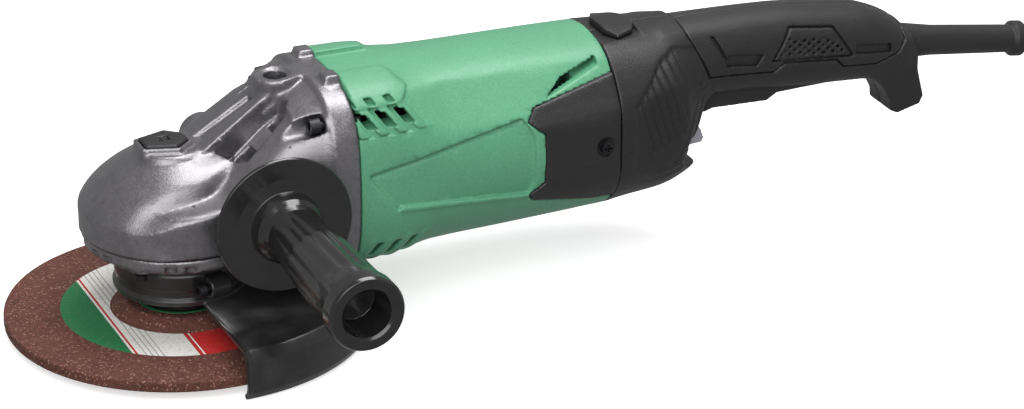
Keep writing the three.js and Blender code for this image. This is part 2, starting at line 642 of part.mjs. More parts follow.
function handleScrews() {
  return HANDLE_SCREWS.map((s, i) => {
    const length = seatOf(s) - s.tip - 1;
    const shape = screwShape(4.2, 2.4, 1.9, length).rotateX(-Math.PI / 2);
    return at(piece(`handle_screw_${i + 1}`, shape, blackSteel()), s.x, seatOf(s) + GAP, s.z);
  });
}

function softGrips() {
  const inset = SOFT_LIMIT.map(([x, z]) => [x + (x < 280 ? GAP : 0) - (x > 390 ? 2 * GAP : 0),
    z + (z < 100 ? GAP : 0)]);
  const skin = cut(common(loft(GRIP), plateXZ(inset, -60, 60)), loft(grown(GRIP, -1.9)));
  const screwHoles = HANDLE_SCREWS.slice(1).map((s) => rodY(5, 0, 60, 12).translate(s.x, 0, s.z));
  return SIDES.map(([side, sign]) => {
    const half = sign < 0 ? box(200, 440, -80, -GAP / 2, 0, 140) : box(200, 440, GAP / 2, 80, 0, 140);
    return piece(`soft_grip_${side}`, cut(common(skin, half), ...screwHoles), softBlack());
  });
}

function topPad() {
  const outline = [[224.6, -9], [230, -19.6], [243, -13], [246.6, -6], [246.6, 6], [243, 13], [230, 19.6],
    [224.6, 9]];
  return piece('top_pad', plateXY(outline, 117.6, 124), softBlack());
}

function trigger() {
  const sideView = [[285, 67.6], [290.5, 65.8], [325, 65.2], [331, 68.8], [368, 69.8], [372.4, 74], [372.4, 81],
    [366, 83], [336, 81], [300, 82], [288, 80], [285, 76]];
  const pinHole = rodY(2.3, -20, 20, COARSE).translate(TRIGGER_PIVOT.x, 0, TRIGGER_PIVOT.z);
  return piece('trigger', cut(plateXZ(sideView, -10.9, 10.9), pinHole), blackPlastic());
}

const triggerPin = () => at(piece('trigger_pin', rodY(2, -11.3, 11.3, COARSE), machinedSteel()),
  TRIGGER_PIVOT.x, 0, TRIGGER_PIVOT.z);

function lockOffLever() {
  const sideView = [[270, 44.6], [289.4, 44.6], [291.6, 47], [289.4, 53.4], [285.8, 56.8], [270, 56.8]];
  return piece('lock_off_lever', plateXZ(sideView, -4.9, 4.9), greyPlastic());
}

const switchBody = () => piece('switch_body', box(300, 344, -10.5, 10.5, 92.6, 106), blackPlastic());

const cordClamp = () => piece('cord_clamp', cut(box(380, 387.5, -8, 8, 82.4, 86.4),
  box(382, 385.5, -3.6, 3.6, 81, 83.6)), blackPlastic());

// Boot: a collar held in the handle's end, then a tapering sleeve with a bead at its mouth.
function cordBoot() {
  const end = bootAxis.length;
  const profile = [[4.6, -5.6], [12, -5.6], [12, 0.6], [9.4, 0.6], [9.4, 6], [7.6, end - 7.5], [9.7, end - 6],
    [9.7, end - 1.2], [8.8, end], [4.6, end], [4.6, -5.6]];
  const mesh = piece('cord_boot', alongX(turned(profile, 16)), softBlack());
  mesh.rotation.y = bootAxis.pitch;
  return at(mesh, BOOT_ROOT.x, 0, BOOT_ROOT.z);
}

// ---- guard --------------------------------------------------------------------------------
const LUG = { angle: -80, r0: 32, r1: 41, half: 5.5, z0: 22.6, z1: 35.4 };

function guard() {
  const t = SHEET_T;
  const plateLow = GUARD_PLATE_Z - t;
  const shellProfile = [[31, plateLow], [GUARD_R - 5, plateLow], [GUARD_R - t, plateLow - 3.4],
    [GUARD_R - t, GUARD_LIP_Z + 5], [GUARD_R - 5.6, GUARD_LIP_Z + t], [GUARD_R - 5, GUARD_LIP_Z],
    [GUARD_R - 2.6, GUARD_LIP_Z], [GUARD_R, GUARD_LIP_Z + 4.6], [GUARD_R, plateLow - 3],
    [GUARD_R - 4.4, GUARD_PLATE_Z], [31, GUARD_PLATE_Z], [31, plateLow]];
  const half = cut(turned(shellProfile, 36), box(-120, 0, -120, 120, -20, 40));
  const collar = turned([[NECK_R + GAP, 21.6], [NECK_R + GAP, plateLow], [33.4, plateLow], [34, 20.6],
    [33, 22], [33, 38], [NECK_R + GAP, 38], [NECK_R + GAP, 21.6]], FINE);
  const lug = box(LUG.r0, LUG.r1, -LUG.half, LUG.half, LUG.z0, LUG.z1);
  const hole = rodY(2.5, -10, 10, COARSE).translate(37.6, 0, 29);
  const turn = THREE.MathUtils.degToRad(LUG.angle);
  return piece('guard', cut(join(half, collar, lug.rotateZ(turn)), hole.rotateZ(turn)), guardPaint());
}

function guardScrew() {
  const shape = screwShape(3.9, 3.6, 2.1, 13.4).rotateX(Math.PI / 2).translate(37.6, -LUG.half - GAP, 29);
  return piece('guard_screw', shape.rotateZ(THREE.MathUtils.degToRad(LUG.angle)), blackSteel());
}

// ---- side handle, drawn standing on Z and turned to point along -Y ------------------------
function sideHandleGrip() {
  const end = SIDE_LENGTH;
  const outer = [[0, GAP], [15, GAP], [35.4, 2], [35.2, 4.4], [22, 7], [20, 12], [15.4, 15.5],
    [14.4, 22], [16.8, 60], [17.2, 100], [19, end - 6], [19, end - 1], [18, end],
    [12.4, end], [11, end - 8], [0, end - 8]];
  const bore = rodZ(THREAD_R + GAP, -1, 30, 18);
  return piece('side_handle_grip', cut(turned(outer, 22), bore), glossBlack());
}

const sideHandleStud = () => piece('side_handle_stud', turned([[0, -15], [5.2, -15], [THREAD_R, -14.2],
  [THREAD_R, 29], [0, 29]], 18), machinedSteel());

function sideHandle() {
  const assembly = group(sideHandleGrip(), sideHandleStud());
  assembly.rotation.x = Math.PI / 2;
  return at(assembly, SIDE_X, -SIDE_FACE_Y, SIDE_Z);
}

// ---- assembly -----------------------------------------------------------------------------
const grinder = group(
  group(spindle(), ringGear(), innerFlange(), wheel(), wheelNut()),
  group(spindleBearing(), needleBearing(), dustSeal(), packingGland(), ...glandScrews()),
  group(gearCover(), ...coverScrews()),
  group(lockButton(), lockPin(), lockSpring()),
  motor(),
  group(motorHousing(), ...SIDES.map(sideCover), ...SIDES.map(sideCoverScrew)),
  group(...handleShells(), ...handleScrews(), ...softGrips(), topPad(), switchBody(), cordClamp(), cordBoot()),
  group(trigger(), triggerPin(), lockOffLever()),
  group(guard(), guardScrew()),
  sideHandle(),
);

export default grinder;
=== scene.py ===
"""Looks of an angle grinder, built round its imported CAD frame.

Sizes in the classes are millimetres in the frame of the part: the origin is the centre of the
spindle's lower end face, +X runs to the tail handle, -Y is the side handle's side and +Z is up.
"""

import logging
import math
from dataclasses import dataclass
from enum import Enum
from typing import Any, Sequence

import bpy
import numpy as np
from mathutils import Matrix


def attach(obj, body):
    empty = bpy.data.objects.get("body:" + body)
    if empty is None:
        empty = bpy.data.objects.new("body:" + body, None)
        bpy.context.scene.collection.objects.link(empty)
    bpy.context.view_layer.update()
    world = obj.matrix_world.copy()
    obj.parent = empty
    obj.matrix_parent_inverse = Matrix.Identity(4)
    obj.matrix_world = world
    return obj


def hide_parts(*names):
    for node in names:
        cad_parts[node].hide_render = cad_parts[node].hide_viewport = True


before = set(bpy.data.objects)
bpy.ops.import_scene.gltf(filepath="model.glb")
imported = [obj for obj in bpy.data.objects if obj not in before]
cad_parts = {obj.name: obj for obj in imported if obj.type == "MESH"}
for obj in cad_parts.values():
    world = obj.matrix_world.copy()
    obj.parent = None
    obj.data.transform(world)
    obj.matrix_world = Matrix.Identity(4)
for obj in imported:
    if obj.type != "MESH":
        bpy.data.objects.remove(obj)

import openvdb
from mathutils import Vector

LOG = logging.getLogger("grinder")
MM = 0.001
TINY = 1e-6
NEARLY_STRAIGHT = math.radians(172)
QUARTERS = (45, 135, 225, 315)
SIDES = (("left", -1), ("right", 1))

# What several sub-assemblies share: the rotor's height, and where the four long screws stand round it.
MOTOR_Z = 72.3
CORNER_RADIUS = 50.5
CORNER_ANGLES = (42, 138, 222, 318)

Field = np.ndarray
Outline = Sequence[tuple[float, float]]
Point = tuple[float, float, float]


# ---- meshes -----------------------------------------------------------------------------------
def mesh_object(name: str, points: np.ndarray, faces: Sequence[np.ndarray], smooth: bool = True) -> bpy.types.Object:
    """Makes an object from points in millimetres.

    Args:
        name: The piece's name.
        points: An array of N points.
        faces: Arrays of faces, one array for each number of corners.
        smooth: Whether its faces are shaded smooth.

    Returns:
        The object, at the origin, with its faces turned outwards.
    """
    triangles = np.concatenate([f[:, [0, i, i + 1]] for f in faces if len(f) for i in range(1, f.shape[1] - 1)])
    a, b, c = (points[triangles[:, i]] for i in range(3))
    if np.einsum("ij,ij->i", a, np.cross(b, c)).sum() < 0:
        faces = [f[:, ::-1] for f in faces]
    mesh = bpy.data.meshes.new(name)
    corners = np.concatenate([f.ravel() for f in faces if len(f)]).astype(np.int32)
    counts = np.concatenate([np.full(len(f), f.shape[1]) for f in faces if len(f)])
    starts = np.concatenate([[0], np.cumsum(counts)[:-1]]).astype(np.int32)
    mesh.vertices.add(len(points))
    mesh.vertices.foreach_set("co", (points * MM).astype(np.float32).ravel())
    mesh.loops.add(len(corners))
    mesh.loops.foreach_set("vertex_index", corners)
    mesh.polygons.add(len(starts))
    mesh.polygons.foreach_set("loop_start", starts)
    mesh.update(calc_edges=True)
    mesh.validate()
    if smooth:
        mesh.shade_smooth()
    made = bpy.data.objects.new(name, mesh)
    bpy.context.scene.collection.objects.link(made)
    return made


def rounded(outline: Outline, radius: float, closed: bool = False) -> list[tuple[float, float]]:
    """Rounds the corners of an outline with four straight pieces each.

    Args:
        outline: Its corners, in order.
        radius: The corner radius, less where an edge is short.
        closed: Whether the last corner joins the first.

    Returns:
        The corners of the rounded outline.
    """
    steps, edge_share = 4, 0.45
    corners = [Vector(p) for p in outline]
    made: list[tuple[float, float]] = []
    for i, corner in enumerate(corners):
        if not closed and i in (0, len(corners) - 1):
            made.append(tuple(corner))
            continue
        before = corners[i - 1] - corner
        after = corners[(i + 1) % len(corners)] - corner
        angle = before.angle(after, math.pi)
        if angle > NEARLY_STRAIGHT:
            made.append(tuple(corner))
            continue
        back = min(radius / math.tan(angle / 2), edge_share * before.length, edge_share * after.length)
        start, end = corner + before.normalized() * back, corner + after.normalized() * back
        for k in range(steps + 1):
            t = k / steps
            made.append(tuple(start * (1 - t) ** 2 + corner * 2 * t * (1 - t) + end * t ** 2))
    return made


class Axis(Enum):
    """The direction that a turned or drilled shape points in."""

    X = 0
    Y = 1
    Z = 2


def revolve(name: str, profile: Outline, axis: Axis = Axis.Z, centre: Point = (0, 0, 0), rounding: float = 0.6,
            segments: int = 128, sweep: tuple[float, float] | None = None) -> bpy.types.Object:
    """Turns a profile about an axis.

    Args:
        name: The piece's name.
        profile: Corners as radius and height. It starts and ends on the axis, or closes on itself.
        axis: The direction of the axis.
        centre: A point of the axis, at height 0.
        rounding: The radius on the profile's corners.
        segments: The number of steps round.
        sweep: First and last angle in degrees of a part turn, or None for the whole turn.

    Returns:
        The closed piece.
    """
    ring = abs(profile[0][0]) > TINY
    line = np.array(rounded(profile, rounding, closed=ring))
    whole = sweep is None
    first, last = (0.0, 360.0) if whole else sweep
    angles = np.radians(np.linspace(first, last, segments + 1))
    angles = angles[:-1] if whole else angles
    u = line[:, 0][None, :] * np.cos(angles)[:, None]
    v = line[:, 0][None, :] * np.sin(angles)[:, None]
    h = np.broadcast_to(line[:, 1][None, :], u.shape)
    order = {Axis.Z: (u, v, h), Axis.X: (h, u, v), Axis.Y: (v, h, u)}[axis]
    points = np.stack(order, -1).reshape(-1, 3) + np.array(centre)
    count, per = len(angles), len(line)
    rows = np.arange(count if whole else count - 1)[:, None]
    columns = np.arange(per if ring else per - 1)[None, :]
    nxt_row, nxt_col = (rows + 1) % count, (columns + 1) % per
    quads = np.stack([rows * per + columns, nxt_row * per + columns, nxt_row * per + nxt_col,
                      rows * per + nxt_col], -1).reshape(-1, 4)
    if whole and not ring:
        on_axis = np.where(line[:, 0] < TINY)[0]
        keep = np.arange(len(points))
        for column in on_axis:
            keep[column::per] = column
        quads = keep[quads]
        flat = (quads[:, 0] == quads[:, 1]) | (quads[:, 2] == quads[:, 3])
        lone = quads[flat]
        tris = np.array([list(dict.fromkeys(q)) for q in lone.tolist()])
        used, renumber = np.unique(np.concatenate([quads[~flat].ravel(), tris.ravel()]), return_inverse=True)
        cut_at = quads[~flat].size
        return mesh_object(name, points[used], [renumber[:cut_at].reshape(-1, 4), renumber[cut_at:].reshape(-1, 3)])
    faces = [quads]
    if not whole:
        faces.append(np.arange(per)[None, ::-1])
        faces.append((np.arange(per) + (count - 1) * per)[None, :])
    return mesh_object(name, points, faces)


# ---- shapes described by distance ---------------------------------------------------------------
def outline_distance(u: Field, v: Field, outline: Outline) -> Field:
    """Distance from a closed outline in a plane, negative inside it."""
    nearest = np.full(np.broadcast_shapes(u.shape, v.shape), 1e9, np.float32)
    inside = np.zeros(nearest.shape, bool)
    for i, (ax, ay) in enumerate(outline):
        bx, by = outline[i - 1]
        ex, ey = bx - ax, by - ay
        wx, wy = u - ax, v - ay
        t = np.clip((wx * ex + wy * ey) / max(ex * ex + ey * ey, 1e-9), 0, 1)
        nearest = np.minimum(nearest, (wx - ex * t) ** 2 + (wy - ey * t) ** 2)
        above, below, left = v >= ay, v < by, ex * wy > ey * wx
        inside ^= (above & below & left) | (~above & ~below & ~left)
    return np.where(inside, -1, 1) * np.sqrt(nearest)


def both(a: Field, b: Field, blend: float = 0.0) -> Field:
    """What two shapes share, with a rounding of about blend on the edge between them."""
    if blend <= 0:
        return np.maximum(a, b)
    h = np.maximum(blend - np.abs(a - b), 0)
    return np.maximum(a, b) + h * h / (4 * blend)


def union(first: Field, *others: Field, blend: float = 0.0) -> Field:
    """Shapes joined, with a fillet of about blend between them."""
    for other in others:
        first = -both(-first, -other, blend)
    return first


def cut(body: Field, *tools: Field, blend: float = 0.0) -> Field:
    """A shape less the tools, with the new edges rounded by about blend."""
    for tool in tools:
        body = both(body, -tool, blend)
    return body


def smooth_line(at: Field, xs: Sequence[float], ys: Sequence[float]) -> Field:
    """A smooth curve through points that never overshoots them, level beyond its ends."""
    x, y = np.asarray(xs, float), np.asarray(ys, float)
    step = np.diff(x)
    slope = np.diff(y) / step
    inner = np.where(slope[1:] * slope[:-1] > 0, 2 * slope[1:] * slope[:-1] / (slope[1:] + slope[:-1] + 1e-12), 0)
    tangent = np.concatenate([[slope[0]], inner, [slope[-1]]])
    clipped = np.clip(at, x[0], x[-1])
    i = np.clip(np.searchsorted(x, clipped, side="right") - 1, 0, len(step) - 1)
    t = (clipped - x[i]) / step[i]
    return ((2 * t ** 3 - 3 * t ** 2 + 1) * y[i] + (t ** 3 - 2 * t ** 2 + t) * step[i] * tangent[i]
            + (3 * t ** 2 - 2 * t ** 3) * y[i + 1] + (t ** 3 - t ** 2) * step[i] * tangent[i + 1]).astype(np.float32)


class Block:
    """A box of space divided into cells, in which a piece is carved out of distances."""

    REACH = 3
    EDGE = 0.3
    FLATNESS = 0.04

    def __init__(self, low: Point, high: Point, cell: float = 0.8) -> None:
        """Divides the box from low to high into cells of that size."""
        self.low, self.cell = np.array(low, float), cell
        steps = [np.arange(a, b + cell, cell, dtype=np.float32) for a, b in zip(low, high)]
        self.x, self.y, self.z = np.meshgrid(*steps, indexing="ij", sparse=True)

    def across(self, axis: Axis) -> tuple[Field, Field, Field]:
        """The coordinate along an axis, and the two across it."""
        return {Axis.X: (self.x, self.y, self.z), Axis.Y: (self.y, self.x, self.z),
                Axis.Z: (self.z, self.x, self.y)}[axis]

    def rod(self, axis: Axis, centre: tuple[float, float], radius: float, low: float, high: float,
            blend: float = 0.0) -> Field:
        """A round bar along an axis between two heights.

        Args:
            axis: The bar's direction.
            centre: Where the bar is, in the two coordinates across it.
            radius: Its radius.
            low: Where it starts.
            high: Where it ends.
            blend: The rounding of its ends.

        Returns:
            The distance field.
        """
        h, u, v = self.across(axis)
        ring = np.sqrt((u - centre[0]) ** 2 + (v - centre[1]) ** 2) - radius
        return both(ring, np.abs(h - (low + high) / 2) - (high - low) / 2, blend)

    def slab(self, low: Point, high: Point, blend: float = 0.0) -> Field:
        """A rectangular block between two corners, with rounded edges."""
        made = None
        for value, a, b in zip((self.x, self.y, self.z), low, high):
            side = np.abs(value - (a + b) / 2) - (b - a) / 2
            made = side if made is None else both(made, side, blend)
        return made

    def prism(self, axis: Axis, outline: Outline, low: float, high: float, blend: float = 0.0) -> Field:
        """An outline, in the two coordinates across an axis, given length along it."""
        h, u, v = self.across(axis)
        return both(outline_distance(u, v, outline), np.abs(h - (low + high) / 2) - (high - low) / 2, blend)

    def turned(self, axis: Axis, profile: Outline, centre: tuple[float, float] = (0, 0)) -> Field:
        """A profile of radius and height turned about an axis.

        Args:
            axis: The axis.
            profile: A closed outline. It may cross to negative radii at the axis.
            centre: Where the axis is, in the two coordinates across it.

        Returns:
            The distance field.
        """
        h, u, v = self.across(axis)
        r = np.sqrt((u - centre[0]) ** 2 + (v - centre[1]) ** 2)
        step = self.cell / 2
        table = outline_distance(np.arange(0, float(r.max()) + 2 * step, step, dtype=np.float32)[:, None],
                                 h.ravel()[None, :], profile)
        place = r / step
        i = np.minimum(place.astype(np.int32), len(table) - 2)
        part = place - i
        i, part = np.squeeze(i), np.squeeze(part)
        made = table[i] * (1 - part)[..., None] + table[i + 1] * part[..., None]
        return np.moveaxis(made, -1, axis.value) if axis is not Axis.Z else made

    def loft(self, stations: Sequence[Sequence[float]]) -> Field:
        """A body along X through superellipse sections.

        Args:
            stations: Each section as x, half width, low z, high z and power.

        Returns:
            The distance field.
        """
        never_zero = 1e-4
        rows = np.array(stations, float)
        half_y, low, high, power = (smooth_line(self.x, rows[:, 0], rows[:, i]) for i in range(1, 5))
        half_z = (high - low) / 2
        u = np.abs(self.y) / half_y + never_zero
        v = np.abs(self.z - (low + high) / 2) / half_z + never_zero
        total = u ** power + v ** power
        q = total ** (1 / power)
        slope_y = (u / q) ** (power - 1) / half_y
        slope_z = (v / q) ** (power - 1) / half_z
        skin = (q - 1) / np.sqrt(slope_y ** 2 + slope_z ** 2)
        return np.maximum(skin, np.maximum(rows[0, 0] - self.x, self.x - rows[-1, 0]))

    def piece(self, name: str, shape: Field) -> bpy.types.Object:
        """Meshes the surface of a shape as a smooth piece."""
        reach = self.REACH * self.cell
        values = np.ascontiguousarray(np.clip(shape, -reach, reach), dtype=np.float32)
        for axis in range(3):
            ends = [slice(None)] * 3
            for end in (0, -1):
                ends[axis] = end
                values[tuple(ends)] = np.maximum(values[tuple(ends)], self.EDGE * self.cell)
        grid = openvdb.FloatGrid(reach)
        grid.copyFromArray(values)
        points, triangles, quads = grid.convertToPolygons(isovalue=0.0, adaptivity=self.FLATNESS)
        made = mesh_object(name, points.astype(float) * self.cell + self.low,
                           [f for f in (triangles.astype(np.int64), quads.astype(np.int64)) if len(f)])
        LOG.info("%s: %d faces", name, len(made.data.polygons))
        return made


# ---- shader maths ---------------------------------------------------------------------------------
class Value:
    """A number in a material's node tree, with Python's arithmetic."""

    def __init__(self, graph: "Graph", socket: bpy.types.NodeSocket) -> None:
        """Wraps a socket of a graph."""
        self.graph, self.socket = graph, socket

    def maths(self, operation: str, second: "Value | float" = 0.0, first: "Value | float | None" = None) -> "Value":
        """Adds one Math node on self and second, or on first and second."""
        terms = {0: self if first is None else first, 1: second}
        return Value(self.graph, self.graph.node("ShaderNodeMath", {"operation": operation}, terms).outputs[0])

    def __add__(self, other: "Value | float") -> "Value":
        """self + other."""
        return self.maths("ADD", other)

    __radd__ = __add__

    def __sub__(self, other: "Value | float") -> "Value":
        """self - other."""
        return self.maths("SUBTRACT", other)

    def __rsub__(self, other: "Value | float") -> "Value":
        """other - self."""
        return self.maths("SUBTRACT", self, other)

    def __mul__(self, other: "Value | float") -> "Value":
        """self * other."""
        return self.maths("MULTIPLY", other)

    __rmul__ = __mul__

    def __lt__(self, other: "Value | float") -> "Value":
        """1 where self is below other."""
        return self.maths("LESS_THAN", other)

    def __gt__(self, other: "Value | float") -> "Value":
        """1 where self is above other."""
        return self.maths("GREATER_THAN", other)

    def sine(self) -> "Value":
        """The sine of self."""
        return self.maths("SINE")

    def spread(self, low: float, high: float, to_low: float = 0.0, to_high: float = 1.0) -> "Value":
        """Maps low..high to another range, clamped."""
        made = self.graph.node("ShaderNodeMapRange", {"clamp": True},
                               {0: self, 1: low, 2: high, 3: to_low, 4: to_high})
        return Value(self.graph, made.outputs[0])


Colour = tuple[float, float, float, float]


def paint(red: int, green: int, blue: int) -> Colour:
    """A display colour of 0..255 as the linear colour that shaders take."""
    channels = [c / 255 for c in (red, green, blue)]
    return tuple(c / 12.92 if c <= 0.04045 else ((c + 0.055) / 1.055) ** 2.4 for c in channels) + (1.0,)


def shade(colour: Colour, gain: float, lift: float = 0.0) -> Colour:
    """A colour made lighter or darker."""
    return tuple(min(1.0, c * gain + lift) for c in colour[:3]) + (1.0,)


class Graph:
    """The node tree of one material, on object coordinates in millimetres."""

    def __init__(self, name: str) -> None:
        """Starts an empty material."""
        self.material = bpy.data.materials.new(name)
        self.material.use_nodes = True
        self.material.node_tree.nodes.clear()
        self.place = self.node("ShaderNodeTexCoord").outputs["Object"]

    def node(self, kind: str, settings: dict[str, Any] | None = None,
             inputs: dict[int | str, Any] | None = None) -> bpy.types.Node:
        """Adds a node.

        Args:
            kind: Its type.
            settings: Its properties, set before its sockets. A ramp's "stops" are pairs of place and colour.
            inputs: A number, colour, socket or Value for each named or numbered socket.

        Returns:
            The node.
        """
        made = self.material.node_tree.nodes.new(kind)
        for key, value in (settings or {}).items():
            if key == "stops":
                ramp = made.color_ramp.elements
                while len(ramp) < len(value):
                    ramp.new(0.5)
                for stop, (where, colour) in zip(ramp, value):
                    stop.position, stop.color = where, colour
            else:
                setattr(made, key, value)
        for key, value in (inputs or {}).items():
            source = value.socket if isinstance(value, Value) else value
            if isinstance(source, bpy.types.NodeSocket):
                self.material.node_tree.links.new(source, made.inputs[key])
            else:
                made.inputs[key].default_value = source
        return made

    def noise(self, size: float, detail: float = 3.0, stretch: Point = (1, 1, 1)) -> Value:
        """Cloudy noise of 0..1 whose blotches are about size millimetres."""
        where = self.node("ShaderNodeMapping", None, {"Vector": self.place, "Scale": stretch}).outputs[0]
        made = self.node("ShaderNodeTexNoise", None, {"Vector": where, "Scale": 1 / (size * MM), "Detail": detail})
        return Value(self, made.outputs[0])

    def scatter(self, size: float) -> bpy.types.Node:
        """Points scattered about size millimetres apart, with the cell round each."""
        return self.node("ShaderNodeTexVoronoi", None, {"Vector": self.place, "Scale": 1 / (size * MM)})

    def cells(self, size: float) -> Value:
        """Distance to scattered points about size millimetres apart."""
        return Value(self, self.scatter(size).outputs[0])

    def grains(self, size: float) -> Value:
        """A random number of 0..1 for each cell of about size millimetres."""
        split = self.node("ShaderNodeSeparateColor", None, {0: self.scatter(size).outputs["Color"]})
        return Value(self, split.outputs[0])

    def coordinates(self) -> tuple[Value, Value, Value]:
        """x, y and z in millimetres."""
        split = self.node("ShaderNodeSeparateXYZ", None, {0: self.place})
        return tuple(Value(self, out) * (1 / MM) for out in split.outputs)

    def mix(self, factor: Value | float, first: Any, second: Any) -> bpy.types.NodeSocket:
        """A colour between two colours."""
        made = self.node("ShaderNodeMix", {"data_type": "RGBA"}, {0: factor, 6: first, 7: second})
        return made.outputs[2]

    def relief(self, height: Value, depth: float) -> bpy.types.NodeSocket:
        """A normal from a height of 0..1 that stands for depth millimetres."""
        return self.node("ShaderNodeBump", None, {"Height": height, "Distance": depth * MM, "Strength": 1.0}).outputs[0]

    def surface(self, **sockets: Any) -> bpy.types.Material:
        """Ends the material in a Principled shader with these sockets, spaces in names as underscores."""
        named = {key.replace("_", " "): value for key, value in sockets.items()}
        shader = self.node("ShaderNodeBsdfPrincipled", None, named)
        self.node("ShaderNodeOutputMaterial", None, {"Surface": shader.outputs[0]})
        return self.material


# ---- finishes ---------------------------------------------------------------------------------------
@dataclass(frozen=True)
class Moulding:
    """Moulded plastic or rubber with a spark-eroded skin."""

    name: str
    colour: Colour
    roughness: float = 0.48
    grain: float = 0.7
    depth: float = 0.05
    coat: float = 0.0
    sheen: float = 0.0

    def material(self) -> bpy.types.Material:
        """Fine pebble on the skin, a slow drift of tone and small scuffs in the gloss."""
        graph = Graph(self.name)
        drift = graph.noise(45, 2).spread(0.3, 0.7)
        fleck = graph.noise(self.grain * 1.6, 2).spread(0.35, 0.65)
        base = graph.mix(drift * 0.35 + fleck * 0.45, shade(self.colour, 0.88), shade(self.colour, 1.16, 0.004))
        gloss = graph.noise(9, 4, (1, 2.5, 2.5)).spread(0.3, 0.75, self.roughness - 0.05, self.roughness + 0.07)
        pebble = graph.cells(self.grain).spread(0.0, 0.7) + graph.noise(self.grain * 0.6, 2) * 0.5
        return graph.surface(Base_Color=base, Roughness=gloss, Metallic=0.0, Coat_Weight=self.coat,
                             Coat_Roughness=0.12, Sheen_Weight=self.sheen,
                             Normal=graph.relief(pebble, self.depth))


@dataclass(frozen=True)
class Casting:
    """Die-cast aluminium, blasted, with a sandy skin."""

    name: str
    colour: Colour
    roughness: float = 0.36

    def material(self) -> bpy.types.Material:
        """Bright and dark grains over a mottled grey."""
        graph = Graph(self.name)
        mottle = graph.noise(6, 3).spread(0.3, 0.7)
        grain = graph.grains(0.55)
        base = graph.mix(mottle * 0.3 + grain * 0.4 + 0.15, shade(self.colour, 0.72), shade(self.colour, 1.3))
        gloss = (graph.noise(3, 3) * 0.16 + grain * 0.12).spread(0.05, 0.25, self.roughness - 0.08,
                                                                 self.roughness + 0.08)
        skin = graph.cells(0.7).spread(0, 0.8) + graph.noise(1.6, 3) * 0.8
        return graph.surface(Base_Color=base, Roughness=gloss, Metallic=0.82,
                             Normal=graph.relief(skin, 0.055))


@dataclass(frozen=True)
class Metal:
    """Machined, blackened or drawn metal with fine tool marks."""

    name: str
    colour: Colour
    roughness: float = 0.3
    metallic: float = 1.0
    mark: float = 0.5

    def material(self) -> bpy.types.Material:
        """Tool marks round the spindle's axis, smudges and a little wear."""
        graph = Graph(self.name)
        marks = graph.noise(self.mark, 3, (1, 1, 6))
        smudge = graph.noise(7, 4).spread(0.35, 0.7)
        base = graph.mix(smudge * 0.5, self.colour, shade(self.colour, 1.45, 0.02))
        gloss = (smudge * 0.6 + marks * 0.4).spread(0, 1, self.roughness - 0.06, self.roughness + 0.12)
        return graph.surface(Base_Color=base, Roughness=gloss, Metallic=self.metallic,
                             Normal=graph.relief(marks, 0.02))


@dataclass(frozen=True)
class Enamel:
    """Baked black enamel on pressed steel."""

    name: str
    colour: Colour
    roughness: float = 0.3

    def material(self) -> bpy.types.Material:
        """A slight orange peel with dust in the gloss."""
        graph = Graph(self.name)
        peel = graph.noise(1.8, 2)
        dust = graph.noise(14, 5).spread(0.42, 0.75)
        base = graph.mix(dust * 0.5, self.colour, shade(self.colour, 1.0, 0.03))
        gloss = dust.spread(0, 1, self.roughness, self.roughness + 0.16)
        return graph.surface(Base_Color=base, Roughness=gloss, Metallic=0.0, Coat_Weight=0.25,
                             Coat_Roughness=0.2, Normal=graph.relief(peel, 0.05))


@dataclass(frozen=True)
class Grit:
    """Resin-bonded grit with a glass-fibre mesh pressed into it."""

    name: str = "bonded_grit"
    resin: Colour = paint(112, 66, 53)
    dark: Colour = paint(70, 38, 32)
    bright: Colour = paint(196, 158, 140)
    mesh_pitch: float = 3.4

    def material(self) -> bpy.types.Material:
        """Dark pores, bright grains and the faint weave of the mesh."""
        graph = Graph(self.name)
        x, y, _ = graph.coordinates()
        grain, chip = graph.grains(1.1), graph.grains(0.75)
        lump = graph.cells(1.2)
        weave = (x * (math.pi / self.mesh_pitch)).sine() * (y * (math.pi / self.mesh_pitch)).sine()
        base = graph.mix(graph.noise(16, 3).spread(0.3, 0.7) * 0.35 + grain * 0.4, self.dark, self.resin)
        base = graph.mix(weave.spread(-0.9, 0.9) * 0.3, base, self.resin)
        base = graph.mix((chip > 0.93) * 0.4, base, self.bright)
        base = graph.mix((grain < 0.1) * 0.5, base, self.dark)
        height = lump.spread(0, 0.8, 1, 0) + weave * 0.3 + graph.noise(0.5, 2) * 0.6
        return graph.surface(Base_Color=base, Roughness=chip.spread(0, 1, 0.78, 0.95), Metallic=0.0,
                             Normal=graph.relief(height, 0.22))


